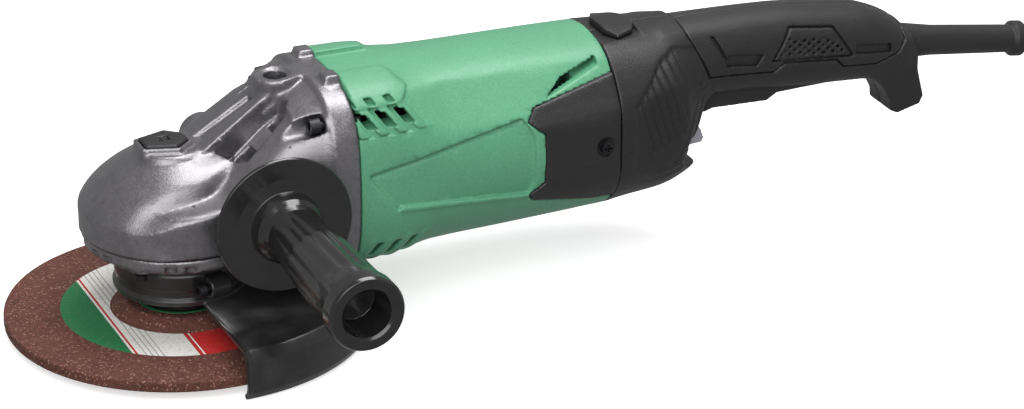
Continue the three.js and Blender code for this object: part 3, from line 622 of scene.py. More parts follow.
@dataclass(frozen=True)
class PaperLabel:
    """A printed paper ring glued to the wheel, with plain stripes."""

    name: str = "paper_label"
    paper: Colour = paint(232, 230, 224)
    green: Colour = paint(28, 112, 66)
    red: Colour = paint(190, 36, 34)
    ink: Colour = paint(120, 120, 120)
    band_edge: float = -41.5
    red_edge: float = -11.5
    line_pitch: float = 2.6
    line_width: float = 0.5

    def material(self) -> bpy.types.Material:
        """A green band, a thin red line, four thin grey lines and a red field, all parallel."""
        graph = Graph(self.name)
        x, y, _ = graph.coordinates()
        base = graph.mix(graph.noise(2.5, 3).spread(0.3, 0.7) * 0.12, self.paper, self.ink)
        base = graph.mix(x < self.band_edge, base, self.green)
        base = graph.mix((x > self.band_edge + 1.2) * (x < self.band_edge + 2.3), base, self.red)
        for i in range(4):
            start = self.band_edge + 5.5 + self.line_pitch * i
            base = graph.mix((x > start) * (x < start + self.line_width) * 0.8, base, self.ink)
        base = graph.mix((x > self.red_edge) * (y < 0.0), base, self.red)
        base = graph.mix((x > self.red_edge + 2.0) * (x < self.red_edge + 2.8) * (y < 0.0), base, self.paper)
        grain = graph.grains(0.8)
        base = graph.mix((grain > 0.93) * 0.3, base, self.ink)
        return graph.surface(Base_Color=base, Roughness=grain.spread(0, 1, 0.6, 0.75), Metallic=0.0,
                             Normal=graph.relief(graph.cells(1.2), 0.09))


class Finish(Enum):
    """The finishes of the object, each with the part's material slot that it stands for."""

    CAST = (Casting("cast_aluminium", paint(130, 128, 131)), "castAluminium")
    STEEL = (Metal("machined_steel", paint(196, 196, 198), 0.26), "steel")
    BLACK_STEEL = (Metal("blackened_steel", paint(52, 52, 55), 0.36, 0.85), "blackSteel")
    ENAMEL = (Enamel("guard_enamel", paint(34, 33, 34)), "guardPaint")
    GRIT = (Grit(), "abrasive")
    LABEL = (PaperLabel(), "abrasive")
    GREEN = (Moulding("green_nylon", paint(90, 158, 121), 0.4, 0.7, 0.035), "greenPlastic")
    GREEN_PRINT = (Moulding("green_ring", paint(30, 120, 72), 0.45), "greenPlastic")
    BLACK = (Moulding("black_nylon", paint(36, 34, 35), 0.44, 0.75, 0.05), "blackPlastic")
    GLOSS = (Moulding("gloss_black", paint(26, 25, 26), 0.2, 3.0, 0.012, 0.4), "glossBlack")
    SOFT = (Moulding("soft_overmould", paint(33, 31, 32), 0.5, 0.55, 0.06, 0.0, 0.05), "softBlack")
    GREY = (Moulding("grey_nylon", paint(178, 174, 186), 0.45, 0.7, 0.04), "greyPlastic")
    COPPER = (Metal("copper_wire", paint(176, 104, 62), 0.34, 1.0, 1.2), "copper")
    BRASS = (Metal("brass_strip", paint(190, 160, 92), 0.3), "brass")
    CARBON = (Metal("carbon_block", paint(44, 44, 46), 0.6, 0.1), "carbon")
    FELT = (Moulding("felt_seal", paint(156, 149, 136), 0.9, 0.9, 0.2, 0.0, 0.3), "felt")

    def material(self) -> bpy.types.Material:
        """The finish's material, made the first time it is asked for."""
        return bpy.data.materials.get(self.value[0].name) or self.value[0].material()

    @property
    def slot(self) -> str:
        """The record's material slot."""
        return self.value[1]


def dress(piece: bpy.types.Object, finish: Finish, body: str, *nodes: str) -> bpy.types.Object:
    """Gives a new piece its finish, its body and the CAD nodes that it stands for.

    Args:
        piece: The finished piece.
        finish: Its finish.
        body: The CAD body that it moves with.
        nodes: The CAD nodes that it replaces.

    Returns:
        The piece.
    """
    piece.data.materials.clear()
    piece.data.materials.append(finish.material())
    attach(piece, body)
    if nodes:
        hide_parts(*nodes)
    LOG.info("%s rides on %s in %s", piece.name, body, finish.name)
    return piece


def dress_node(name: str, finish: Finish) -> None:
    """Gives a CAD node that stays its finish."""
    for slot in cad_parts[name].material_slots:
        slot.material = finish.material()
    LOG.info("%s keeps its shape in %s", name, finish.name)


# ---- screws and other repeated detail, by geometry nodes --------------------------------------------
class Recess(Enum):
    """The drive in a screw's head."""

    HEXAGON = "hexagon"
    CROSS = "cross"


@dataclass(frozen=True)
class Screw:
    """Sizes of one kind of screw."""

    head_radius: float
    head_height: float
    shank_radius: float
    length: float


class Modeller:
    """A geometry node tree with named inputs, which ends in Realize Instances and Set Material."""

    def __init__(self, name: str, sizes: Sequence[str]) -> None:
        """Starts a tree that takes a mesh, a finish and these sizes in metres."""
        self.tree = bpy.data.node_groups.new(name, "GeometryNodeTree")
        self.sockets: dict[str, str] = {}
        self._socket("Mesh", "NodeSocketGeometry")
        for size in sizes:
            self._socket(size, "NodeSocketFloat")
        self._socket("Finish", "NodeSocketMaterial")
        self.tree.interface.new_socket("Mesh", in_out="OUTPUT", socket_type="NodeSocketGeometry")
        self.inputs = self.tree.nodes.new("NodeGroupInput").outputs

    def _socket(self, name: str, kind: str) -> None:
        """Adds a named input."""
        self.sockets[name] = self.tree.interface.new_socket(name, in_out="INPUT", socket_type=kind).identifier

    def size(self, name: str) -> Value:
        """A named input as a number."""
        return Value(self, self.inputs[name])

    def node(self, kind: str, settings: dict[str, Any] | None = None,
             inputs: dict[int | str, Any] | None = None) -> bpy.types.Node:
        """Adds a node, with its properties first and then a value or one or more links for each socket."""
        made = self.tree.nodes.new(kind)
        for key, value in (settings or {}).items():
            setattr(made, key, value)
        for key, value in (inputs or {}).items():
            for item in value if isinstance(value, list) else [value]:
                source = item.socket if isinstance(item, Value) else item
                if isinstance(source, bpy.types.NodeSocket):
                    self.tree.links.new(source, made.inputs[key])
                else:
                    made.inputs[key].default_value = source
        return made

    def finish(self, geometry: bpy.types.NodeSocket) -> None:
        """Ends the tree."""
        real = self.node("GeometryNodeRealizeInstances", None, {0: geometry})
        painted = self.node("GeometryNodeSetMaterial", None, {0: real.outputs[0], "Material": self.inputs["Finish"]})
        end = self.tree.nodes.new("NodeGroupOutput")
        self.tree.links.new(painted.outputs[0], end.inputs[0])

    def apply(self, piece: bpy.types.Object, finish: Finish, **sizes: float) -> bpy.types.Object:
        """Runs the tree on an object and keeps the result as its plain mesh.

        Args:
            piece: The object whose mesh goes in.
            finish: The finish of the result.
            sizes: The inputs, in millimetres for lengths, with spaces in their names as underscores.

        Returns:
            The same object.
        """
        modifier = piece.modifiers.new("shape", "NODES")
        modifier.node_group = self.tree
        modifier[self.sockets["Finish"]] = finish.material()
        for key, value in sizes.items():
            modifier[self.sockets[key.replace("_", " ")]] = float(value)
        bpy.context.view_layer.update()
        evaluated = piece.evaluated_get(bpy.context.evaluated_depsgraph_get())
        made = bpy.data.meshes.new_from_object(evaluated)
        piece.modifiers.clear()
        piece.data = made
        return piece


class ScrewMaker(Modeller):
    """Puts a screw on each point of a mesh, facing along the attribute "facing"."""

    SIZES = ("Head radius", "Head height", "Shank radius", "Length", "Recess")
    DRIVE_SHARE = 0.52

    def __init__(self, recess: Recess) -> None:
        """Builds the tree for one kind of drive."""
        super().__init__(f"screw_{recess.value}", self.SIZES)
        head_r, head_h, shank_r, length, drive = (self.size(name) for name in self.SIZES)
        head = self.node("GeometryNodeMeshCone", None, {
            "Vertices": 32, "Radius Top": head_r * 0.9, "Radius Bottom": head_r, "Depth": head_h})
        shank = self.node("GeometryNodeMeshCylinder", None, {"Vertices": 16, "Radius": shank_r, "Depth": length})
        shank_place = self.node("ShaderNodeCombineXYZ", None, {"Z": length * -0.48})
        lowered = self.node("GeometryNodeTransform", None,
                            {0: shank.outputs[0], "Translation": shank_place.outputs[0]})
        body = self.node("GeometryNodeMeshBoolean", {"operation": "UNION", "solver": "EXACT"},
                         {1: [head.outputs[0], lowered.outputs[0]]})
        lifted = self.node("ShaderNodeCombineXYZ", None, {"Z": head_h})
        if recess is Recess.HEXAGON:
            tool = self.node("GeometryNodeMeshCylinder", None, {
                "Vertices": 6, "Radius": drive, "Depth": head_h * 1.1}).outputs[0]
            tools = [tool]
        else:
            long, short = drive * 2.1, drive * 0.62
            tools = []
            for x, y in ((long, short), (short, long)):
                size = self.node("ShaderNodeCombineXYZ", None, {"X": x, "Y": y, "Z": head_h * 1.1})
                tools.append(self.node("GeometryNodeMeshCube", None, {"Size": size.outputs[0]}).outputs[0])
        placed = [self.node("GeometryNodeTransform", None, {0: tool, "Translation": lifted.outputs[0]}).outputs[0]
                  for tool in tools]
        screw = self.node("GeometryNodeMeshBoolean", {"operation": "DIFFERENCE", "solver": "EXACT"},
                          {0: body.outputs[0], 1: placed})
        facing = self.node("GeometryNodeInputNamedAttribute", {"data_type": "FLOAT_VECTOR"}, {"Name": "facing"})
        turn = self.node("FunctionNodeAlignRotationToVector", {"axis": "Z"}, {"Vector": facing.outputs[0]})
        spread = self.node("GeometryNodeInstanceOnPoints", None, {
            "Points": self.inputs["Mesh"], "Instance": screw.outputs[0], "Rotation": turn.outputs[0]})
        self.finish(spread.outputs[0])

    def screws(self, name: str, screw: Screw, places: Sequence[tuple[Point, Point]],
               finish: Finish = Finish.BLACK_STEEL) -> bpy.types.Object:
        """Makes a set of screws as one piece.

        Args:
            name: The piece's name.
            screw: The screws' sizes.
            places: For each screw, the middle of its head's underside and the way that its head faces.
            finish: The screws' finish.

        Returns:
            The piece.
        """
        mesh = bpy.data.meshes.new(name)
        half = screw.head_height / 2
        mesh.from_pydata([tuple((p + half * f) * MM for p, f in zip(place, way)) for place, way in places], [], [])
        facing = mesh.attributes.new("facing", "FLOAT_VECTOR", "POINT")
        facing.data.foreach_set("vector", [c for _, way in places for c in way])
        made = bpy.data.objects.new(name, mesh)
        bpy.context.scene.collection.objects.link(made)
        return self.apply(made, finish, Head_radius=screw.head_radius * MM, Head_height=screw.head_height * MM,
                          Shank_radius=screw.shank_radius * MM, Length=screw.length * MM,
                          Recess=screw.head_radius * self.DRIVE_SHARE * MM)


class FluteMaker(Modeller):
    """Presses flutes along a turned piece that points along -Y."""

    SIZES = ("Centre X", "Centre Z", "Flutes", "Depth", "Start", "End", "Fade")
    SHARPNESS = 1.6

    def __init__(self) -> None:
        """Builds the tree: the radius is reduced by a cosine of the angle between two places."""
        super().__init__("flutes", self.SIZES)
        centre_x, centre_z, count, depth, start, end, fade = (self.size(name) for name in self.SIZES)
        place = self.node("GeometryNodeInputPosition").outputs[0]
        split = self.node("ShaderNodeSeparateXYZ", None, {0: place})
        x, y, z = (Value(self, out) for out in split.outputs)
        dx, dz = x - centre_x, z - centre_z
        angle = dz.maths("ARCTAN2", dx)
        radius = (dx * dx + dz * dz).maths("SQRT")
        along = y * -1.0
        rise, fall = (along - start) * fade, (end - along) * fade
        window = rise.maths("MINIMUM", fall).maths("MINIMUM", 1.0).maths("MAXIMUM", 0.0)
        wave = ((angle * count + math.pi / 2).sine() * 0.5 + 0.5).maths("POWER", self.SHARPNESS)
        share = (depth * wave * window).maths("DIVIDE", radius + TINY) * -1.0
        offset = self.node("ShaderNodeCombineXYZ", None, {"X": dx * share, "Z": dz * share})
        moved = self.node("GeometryNodeSetPosition", None, {0: self.inputs["Mesh"], "Offset": offset.outputs[0]})
        self.finish(moved.outputs[0])


class ThreadMaker(Modeller):
    """Cuts a screw thread on a turned piece that stands on the Z axis."""

    SIZES = ("Pitch", "Depth", "Start", "End", "Radius")

    def __init__(self) -> None:
        """Builds the tree: the radius follows a triangle wave of height and angle."""
        super().__init__("thread", self.SIZES)
        pitch, depth, start, end, least = (self.size(name) for name in self.SIZES)
        split = self.node("ShaderNodeSeparateXYZ", None, {0: self.node("GeometryNodeInputPosition").outputs[0]})
        x, y, z = (Value(self, out) for out in split.outputs)
        turn = y.maths("ARCTAN2", x) * (1 / (2 * math.pi))
        saw = (z.maths("DIVIDE", pitch) - turn).maths("PINGPONG", 0.5) * 2.0
        radius = (x * x + y * y).maths("SQRT")
        share = (depth * saw).maths("DIVIDE", radius + TINY) * -1.0
        share = share * (z > start) * (z < end) * (radius > least)
        offset = self.node("ShaderNodeCombineXYZ", None, {"X": x * share, "Y": y * share})
        moved = self.node("GeometryNodeSetPosition", None, {0: self.inputs["Mesh"], "Offset": offset.outputs[0]})
        self.finish(moved.outputs[0])


def joined(name: str, *pieces: bpy.types.Object) -> bpy.types.Object:
    """Joins closed pieces into one body by boolean union.

    Args:
        name: The name of the result.
        pieces: The pieces, which are used up.

    Returns:
        The joined piece.
    """
    first = pieces[0]
    for other in pieces[1:]:
        modifier = first.modifiers.new("join", "BOOLEAN")
        modifier.operation, modifier.solver, modifier.object = "UNION", "EXACT", other
    bpy.context.view_layer.update()
    made = bpy.data.meshes.new_from_object(first.evaluated_get(bpy.context.evaluated_depsgraph_get()))
    first.modifiers.clear()
    for other in pieces[1:]:
        bpy.data.objects.remove(other)
    first.data, first.name, made.name = made, name, name
    return first


def polar(radius: float, degrees: float) -> tuple[float, float]:
    """A point on a circle."""
    return radius * math.cos(math.radians(degrees)), radius * math.sin(math.radians(degrees))


def long_screw_places() -> list[tuple[float, float]]:
    """Where the four long screws are, as y and z."""
    return [(y, MOTOR_Z + z) for y, z in (polar(CORNER_RADIUS, d) for d in CORNER_ANGLES)]


# ---- wheel end -----------------------------------------------------------------------------------------
@dataclass
class WheelEnd:
    """The spindle with what is clamped on it."""

    wheel_radius: float = 90.0
    bore_radius: float = 11.2
    face_z: float = 5.0
    hub_z: float = 10.0
    thickness: float = 6.0
    label_inner: float = 36.4
    label_outer: float = 61.5
    thread_radius: float = 7.0
    thread_pitch: float = 2.0

    def build(self) -> None:
        """Builds and dresses the wheel, its label, the clamping pieces and the spindle."""
        low = self.hub_z - self.thickness
        wheel = revolve("bonded_wheel", [
            (self.bore_radius, low), (27.5, low), (33.5, self.face_z - self.thickness),
            (self.wheel_radius, self.face_z - self.thickness), (self.wheel_radius, self.face_z),
            (35.5, self.face_z), (28, self.hub_z), (self.bore_radius, self.hub_z)], rounding=1.4, segments=192)
        dress(wheel, Finish.GRIT, "spindle_group", "wheel")
        top = self.face_z + 0.14
        label = revolve("wheel_label", [
            (self.label_inner, self.face_z + 0.02), (self.label_outer, self.face_z + 0.02), (self.label_outer, top),
            (self.label_inner, top)], rounding=0.03, segments=192)
        dress(label, Finish.LABEL, "spindle_group")
        ring = revolve("blotter_ring", [(22.1, self.hub_z + 0.03), (23.6, self.hub_z + 0.03), (23.6, 10.5),
                                        (22.1, 10.5)], rounding=0.1)
        dress(ring, Finish.GREEN_PRINT, "spindle_group")
        flange = revolve("clamp_flange", [(7.3, 10.3), (22, 10.3), (22, 13.4), (20, 17), (13.5, 17.4), (7.3, 17.4)],
                         rounding=0.7)
        dress(flange, Finish.BLACK_STEEL, "spindle_group", "inner_flange")
        self.nut()
        self.spindle()
        dress_node("ring_gear", Finish.STEEL)

    def nut(self) -> None:
        """The clamping nut, with its two spanner holes."""
        block = Block((-21.5, -21.5, -0.6), (21.5, 21.5, 9), 0.45)
        shape = block.turned(Axis.Z, rounded([(7.3, 0.4), (20, 0.4), (20.6, 1), (20.6, 3.7), (10.9, 3.7), (10.9, 8),
                                              (7.3, 8)], 0.5, closed=True))
        holes = [block.rod(Axis.Z, polar(15, d), 2.4, -1, 3) for d in (0, 180)]
        nut = block.piece("clamp_nut", cut(shape, *holes, blend=0.4))
        dress(nut, Finish.BLACK_STEEL, "spindle_group", "wheel_nut")

    def spindle(self) -> None:
        """The spindle, with its end threaded for the nut."""
        turns = [(self.thread_radius, 0.8 + 0.25 * i) for i in range(69)]
        line = [(0, 0), (6.2, 0), *turns, (8.5, 17.8), (9.5, 22), (9.5, 38.8), (7.5, 38.8), (7.5, 64.6), (5, 65.6),
                (5, 81.4), (4.4, 82), (0, 82)]
        blank = revolve("threaded_spindle", line, rounding=0.05, segments=64)
        piece = ThreadMaker().apply(blank, Finish.STEEL, Pitch=self.thread_pitch * MM, Depth=0.9 * MM,
                                    Start=0.9 * MM, End=17.6 * MM, Radius=6.9 * MM)
        dress(piece, Finish.STEEL, "spindle_group", "spindle")


@dataclass
class Guard:
    """The wheel guard: a pressed half shell, its collar and the clamp band's screw."""

    radius: float = 98.0
    plate_z: float = 19.4
    lip_z: float = -6.0
    sheet: float = 1.8
    neck: float = 29.5
    lug_angle: float = -80.0
    lug_reach: float = 37.0
    screw_reach: float = 37.6
    screw_z: float = 29.0

    def build(self) -> None:
        """Builds and dresses the guard."""
        r, t, low = self.radius, self.sheet, self.plate_z - self.sheet
        shell = revolve("guard_shell", [
            (31, low), (r - 6, low), (r - t, low - 4.4), (r - t, self.lip_z + 6), (r - 3.4, self.lip_z + 3.2),
            (r - 5.6, self.lip_z + 2.0), (r - 5.4, self.lip_z), (r - 2.6, self.lip_z), (r, self.lip_z + 4.6),
            (r, low - 3.2), (r - 5.2, self.plate_z), (31, self.plate_z)], rounding=3.0, segments=96, sweep=(-90, 90))
        collar = revolve("guard_collar", [
            (self.neck, 17.9), (31.6, 17.9), (34.4, 18.6), (34.6, 21), (33, 22.6), (33, 26), (33.5, 27), (33.5, 34),
            (33, 35), (33, 38), (self.neck, 38)], rounding=0.7)
        dress(joined("guard_shell", shell, collar, self.lug()), Finish.ENAMEL, "wheel_guard", "guard")
        way = polar(1, self.lug_angle - 90)
        middle = polar(self.screw_reach, self.lug_angle)
        place = (middle[0] + way[0] * 5.8, middle[1] + way[1] * 5.8, self.screw_z)
        screw = ScrewMaker(Recess.HEXAGON).screws("guard_clamp_screw", Screw(3.9, 3.6, 2.1, 13.0),
                                                  [(place, (way[0], way[1], 0.0))])
        dress(screw, Finish.BLACK_STEEL, "wheel_guard", "guard_screw")

    def lug(self) -> bpy.types.Object:
        """The rolled lug that the clamp screw pulls."""
        block = Block((-8, -9, 20), (8, 9, 38), 0.5)
        shape = both(block.rod(Axis.Y, (0.4, self.screw_z), 5.4, -5.5, 5.5, 0.8), block.slab((-6, -6, 22), (6, 6, 36)))
        shape = union(shape, block.slab((-6, -5.5, 23.6), (0.4, 5.5, 34.4), 1.0), blend=1.0)
        shape = cut(shape, block.rod(Axis.Y, (0.6, self.screw_z), 2.5, -8, 8))
        made = block.piece("guard_lug", shape)
        angle = math.radians(self.lug_angle)
        for vertex in made.data.vertices:
            x, y = vertex.co.x + self.lug_reach * MM, vertex.co.y
            vertex.co.x, vertex.co.y = (x * math.cos(angle) - y * math.sin(angle),
                                        x * math.sin(angle) + y * math.cos(angle))
        return made


# ---- gear head -------------------------------------------------------------------------------------------
@dataclass
class GearHead:
    """Packing gland, gear cover, spindle lock and the bearings inside."""

    seam_z: float = 50.0
    nose_radius: float = 50.2
    boss_x: float = 53.0
    boss_z: float = 121.7
    boss_radius: float = 12.0
    side_x: float = 33.0
    side_z: float = 69.0
    side_face: float = 61.7
    thread_radius: float = 6.3
    rear_x: float = 79.0
    gland_screw_radius: float = 43.4
    slant_foot: tuple[float, float] = (21.0, 89.0)
    slant_run: float = 28.0
    slant_rise: float = 22.0
    button: tuple[float, float] = (-6.6, 0.0)

    def build(self) -> None:
        """Builds and dresses every piece of the gear head."""
        self.gland()
        self.cover()
        self.lock()
        screws = ScrewMaker(Recess.HEXAGON)
        corners = [((64.2, y, z), (-1.0, 0.0, 0.0)) for y, z in long_screw_places()]
        quarters = [((*place, 41.7), (0.0, 0.0, -1.0)) for place in self.gland_places()]
        for name, screw, places in (("cover", Screw(4.5, 5.0, 2.4, 22.0), corners),
                                    ("gland", Screw(3.3, 3.4, 2.0, 13.0), quarters)):
            dress(screws.screws(f"{name}_screws", screw, places), Finish.BLACK_STEEL, "housing",
                  *(f"{name}_screw_{i}" for i in range(1, 5)))
        for node in ("spindle_bearing", "needle_bearing", "lock_pin", "lock_spring"):
            dress_node(node, Finish.STEEL)
        dress_node("dust_seal", Finish.FELT)

    def gland_places(self) -> list[tuple[float, float]]:
        """Where the packing gland's screws are, as x and y."""
        return [polar(self.gland_screw_radius, d) for d in QUARTERS]

    def slant(self, block: Block, drop: Field | float = 0.0) -> tuple[Field, Field]:
        """The height above the bell's slanting top, lowered by drop, and the way along it from its foot."""
        x, z = block.x - self.slant_foot[0], block.z - self.slant_foot[1]
        length = math.hypot(self.slant_rise, self.slant_run)
        return ((-x * self.slant_rise + (z + drop) * self.slant_run) / length,
                (x * self.slant_run + z * self.slant_rise) / length)

    def gland(self) -> None:
        """The packing gland: neck, plate, notches and screw bosses."""
        block = Block((-51, -51, 18.5), (51, 51, 51.5), 0.7)
        profile = rounded([(9.8, 20.4), (28.2, 20.4), (29.2, 21.4), (29.2, 39), (33, 42), (46, 42), (48.6, 44),
                           (48.6, 49.7), (17.5, 49.7), (17.5, 38.9), (16.3, 38.9), (16.3, 33), (9.8, 33)], 0.8,
                          closed=True)
        shape = block.turned(Axis.Z, profile)
        bosses = [block.rod(Axis.Z, place, 5.2, 41.6, 49.5, 1) for place in self.gland_places()]
        shape = union(shape, *bosses, blend=1.5)
        notches = [block.rod(Axis.Z, polar(48.8, d + part), 3.0, 40, 46.5, 0.5)
                   for d in (0, 90, 180, 270) for part in (12, 24, -12, -24)]
        holes = [block.rod(Axis.Z, place, 2.3, 40, 51) for place in self.gland_places()]
        shape = cut(shape, *notches, blend=0.8)
        dress(block.piece("packing_gland_casting", cut(shape, *holes)), Finish.CAST, "housing", "packing_gland")

    def nose(self, block: Block) -> Field:
        """The round nose: a wall with a bevelled shelf along each flank, and a dome that ends in a steep brow."""
        r = np.sqrt(block.x ** 2 + block.y ** 2)
        inward = self.nose_radius - r
        edge = smooth_line(block.x, (-44, -38, -31, -24, -17, -9, 0, 12), (62.4, 63, 63.6, 65.8, 69, 71, 72.2, 74.5))
        level = smooth_line(block.x, (-46, -37, -22, -2, 13, 30), (64, 67.8, 71.4, 73.6, 75.6, 77))
        brow = smooth_line(block.x, (-50, -44, -37, -22, -2, 13, 22, 40), (20, 23, 27, 32.6, 34.6, 31.4, 27, 25))
        crown = smooth_line(np.sqrt(np.minimum(block.x, 0) ** 2 + block.y ** 2),
                            (0, 12, 20, 25, 30, 35, 39, 43, 47, 50.2, 56),
                            (92, 91.2, 89.2, 87, 84.2, 80.8, 77.6, 73.9, 69.2, 64, 50))
        floor = self.seam_z + 0.3 - block.z
        wall = both(r - self.nose_radius + (70 - np.minimum(block.z, 70)) * 0.09, floor, 1.0)
        shelf = both(block.z - level - 0.12 * inward, (block.z - edge - inward) * 0.71, 1.6)
        slope = (np.gradient(crown, axis=0) ** 2 + np.gradient(crown, axis=1) ** 2) / block.cell ** 2
        dome = both((block.z - crown) / np.sqrt(1 + slope), r - self.nose_radius, 1.0)
        face = (np.abs(block.y) - brow) * 0.9 + (block.z - 78) * 0.42
        return union(both(wall, shelf, 1.2), both(both(dome, face, 1.8), floor), blend=1.6)

    def bell(self, block: Block) -> Field:
        """The flared body between the nose and the motor housing, with its raised rear ring."""
        body = block.loft([(-6, 45, 30, 91.2, 4.2), (16, 48, 30, 92.2, 3.6), (34, 49, 30, 102, 3.0),
                           (50, 49.2, 27, 112.5, 2.8), (68, 49.2, 24, 119, 3.0)])
        body = both(body, self.slant(block, np.maximum(np.abs(block.y) - 12, 0) * 0.2)[0], 3.0)
        rear = block.loft([(50, 46, 27, 114.5, 2.9), (66, 49.2, 23.6, 120.2, 3.1), (80, 49.4, 23, 121.4, 3.2)])
        ring = both(block.loft([(60, 50, 22.7, 122.3, 3.2), (84, 50, 22.7, 122.3, 3.2)]),
                    np.maximum(65.6 - block.x, block.x - self.rear_x), 2.0)
        return both(union(body, rear, ring, blend=2.4), block.x - self.rear_x, 0.8)

    def cover(self) -> None:
        """The gear cover: nose, bell, windows, strut, bosses, screw seats and everything drilled in it."""
        block = Block((-52.5, -63.5, 20.5), (80.5, 63.5, 127.5), 0.8)
        shape = union(self.nose(block), self.bell(block), blend=4.0)
        shape = self.windows(block, shape)
        bump = block.rod(Axis.Z, (-4, 0), 17.5, 80, 92.6, 3)
        far = block.rod(Axis.Z, (17, 9), 6.4, 80, 94, 5)
        shape = union(shape, bump, far, blend=2.5)
        shape = union(shape, self.strut(block), blend=1.4)
        shape = union(shape, self.top_boss(block), blend=2.2)
        shape = union(shape, block.prism(Axis.Z, self.hexagon(14.6), 84, 95.6, 1.0), blend=1.4)
        side_bosses = both(block.rod(Axis.Y, (self.side_x, self.side_z), 11.8, -self.side_face, self.side_face, 1.2),
                           -np.abs(block.y))
        shape = union(shape, side_bosses, blend=5.0)
        shape = union(shape, self.rim_blocks(block), blend=1.6)
        for place in long_screw_places():
            shape = cut(shape, block.rod(Axis.X, place, 5.6, 40, 63.9), blend=1.0)
            shape = union(shape, block.rod(Axis.X, place, 5.6, 63.9, 70), blend=0.8)
        shape = both(shape, np.minimum(self.seam_z + 0.3 - block.z, 53 - block.x), 0.6)
        dress(block.piece("gear_cover_casting", self.bored(block, shape)), Finish.CAST, "housing", "gear_cover")

    def strut(self, block: Block) -> Field:
        """The tapering strut from the button up to the boss, with a valley along it."""
        x, z, aside = block.x, block.z, np.abs(block.y)
        taper = np.clip((x - 8) / 34, 0, 1)
        strut = both(outline_distance(x, z, [(-2, 86), (9, 92.4), (42, 113), (56, 118), (56, 86)]),
                     aside - 14.4 + taper * 4.6, 1.6)
        valley = both(outline_distance(x, z, [(2, 87), (13, 92), (40, 108.6), (40, 119), (2, 119)]),
                      aside - 4.6 + taper * 2.2, 1.0)
        return cut(strut, valley, blend=1.4)

    def top_boss(self, block: Block) -> Field:
        """The threaded boss on top, with its tapering tail."""
        floor = self.boss_z - 40 - block.z
        boss = both(block.rod(Axis.Z, (self.boss_x, 0), self.boss_radius, 98, self.boss_z, 1.2), floor)
        tail = both(block.prism(Axis.Z, [(self.boss_x, -12), (self.boss_x, 12), (66.5, 7.6), (66.5, -7.6)], 98,
                                self.boss_z, 1.2), floor)
        return union(boss, tail, blend=1.5)

    def rim_blocks(self, block: Block) -> Field:
        """The two blocks on the top of the rear rim."""
        x, z, aside = block.x, block.z, np.abs(block.y)
        sides = np.abs(aside - 18.4) - 5.4 - (122 - z) * 0.2
        blocks = both(both(sides, 69.5 - x + (z - 118) * 0.25, 1.0), both(z - 125.2, x - self.rear_x, 1.0), 1.0)
        return both(blocks, 112 - z)

    def windows(self, block: Block, shape: Field) -> Field:
        """The sunk windows beside the strut, each with a louvre between two deep slots."""
        aside = np.abs(block.y)
        above, along = self.slant(block)
        plan = outline_distance(block.x, aside, [(14, 12), (40, 9.5), (50, 12), (53, 18.5), (48, 24.5), (27, 29.5)])
        shape = cut(shape, both(plan, -(above + 6), 0.8), blend=0.8)
        slots = [both(both(plan + 1.6, np.abs(along - middle) - half, 1.0), np.maximum(-(above + depth), inner - aside))
                 for middle, half, depth, inner in ((28.5, 4.6, 18, 12.5), (6, 5.4, 16, 14))]
        return cut(shape, *slots, blend=0.6)

    def hexagon(self, radius: float) -> list[tuple[float, float]]:
        """The corners of the lock button's frame or cap."""
        scale = radius / 12.0
        half = ((-11.0, 6.2), (3.6, 11.0), (11.2, 4.2))
        corners = (*half, *((x, -y) for x, y in reversed(half)))
        return [(self.button[0] + x * scale, self.button[1] + y * scale) for x, y in corners]

    def bored(self, block: Block, shape: Field) -> Field:
        """The shape less the chambers, seats, threads and screw holes."""
        axis = (0.0, MOTOR_Z)
        thread = np.sin(block.z * math.pi) * 0.28
        radius = np.sqrt((block.x - self.boss_x) ** 2 + block.y ** 2)
        top_thread = both(radius - self.thread_radius + 0.4 + thread, 104 - block.z)
        side = np.sqrt((block.x - self.side_x) ** 2 + (block.z - self.side_z) ** 2) - self.thread_radius
        side_threads = both(side, 45 - np.abs(block.y))
        tools = [
            block.rod(Axis.Z, (0, 0), 39.6, 40, 66), block.rod(Axis.Z, (0, 0), 7.4, 60, 83.2),
            block.prism(Axis.Z, self.hexagon(12.5), 86, 99), block.rod(Axis.Z, (-15, 0), 2.9, 60, 90),
            block.rod(Axis.X, axis, 14, 13, 43), block.rod(Axis.X, axis, 15.3, 40.5, 52),
            block.rod(Axis.X, axis, 17, 51, 62),
            block.turned(Axis.X, [(-5, 58), (30, 58), (44.2, 66), (44.2, 84), (-5, 84)], axis),
            both(top_thread, block.z - 130), side_threads,
            block.rod(Axis.Z, (self.boss_x, 0), 7.4, 121.0, 130),
            *(block.rod(Axis.Z, place, 2.3, 49, 58) for place in self.gland_places()),
            *(block.rod(Axis.X, place, 2.8, 60, 81) for place in long_screw_places()),
        ]
        return cut(shape, *tools)

    def lock(self) -> None:
        """The spindle lock's button: a hexagonal cap with a square finger recess."""
        block = Block((-20.5, -14, 90), (7, 14, 97.8), 0.4)
        cap = block.prism(Axis.Z, self.hexagon(12), 91.4, 96.6, 1.4)
        cx, cy = self.button
        recess = block.slab((cx - 3, cy - 3, 95.4), (cx + 3, cy + 3, 99), 0.4)
        bar = block.slab((cx - 1, cy - 3.4, 94), (cx + 1, cy + 3.4, 96.2), 0.4)
        shape = union(cut(cap, recess, blend=0.5), bar, blend=0.3)
        shape = cut(shape, block.rod(Axis.Z, (-15, 0), 2.8, 90, 94.4))
        dress(block.piece("lock_button_cap", shape), Finish.BLACK, "spindle_lock", "lock_button")


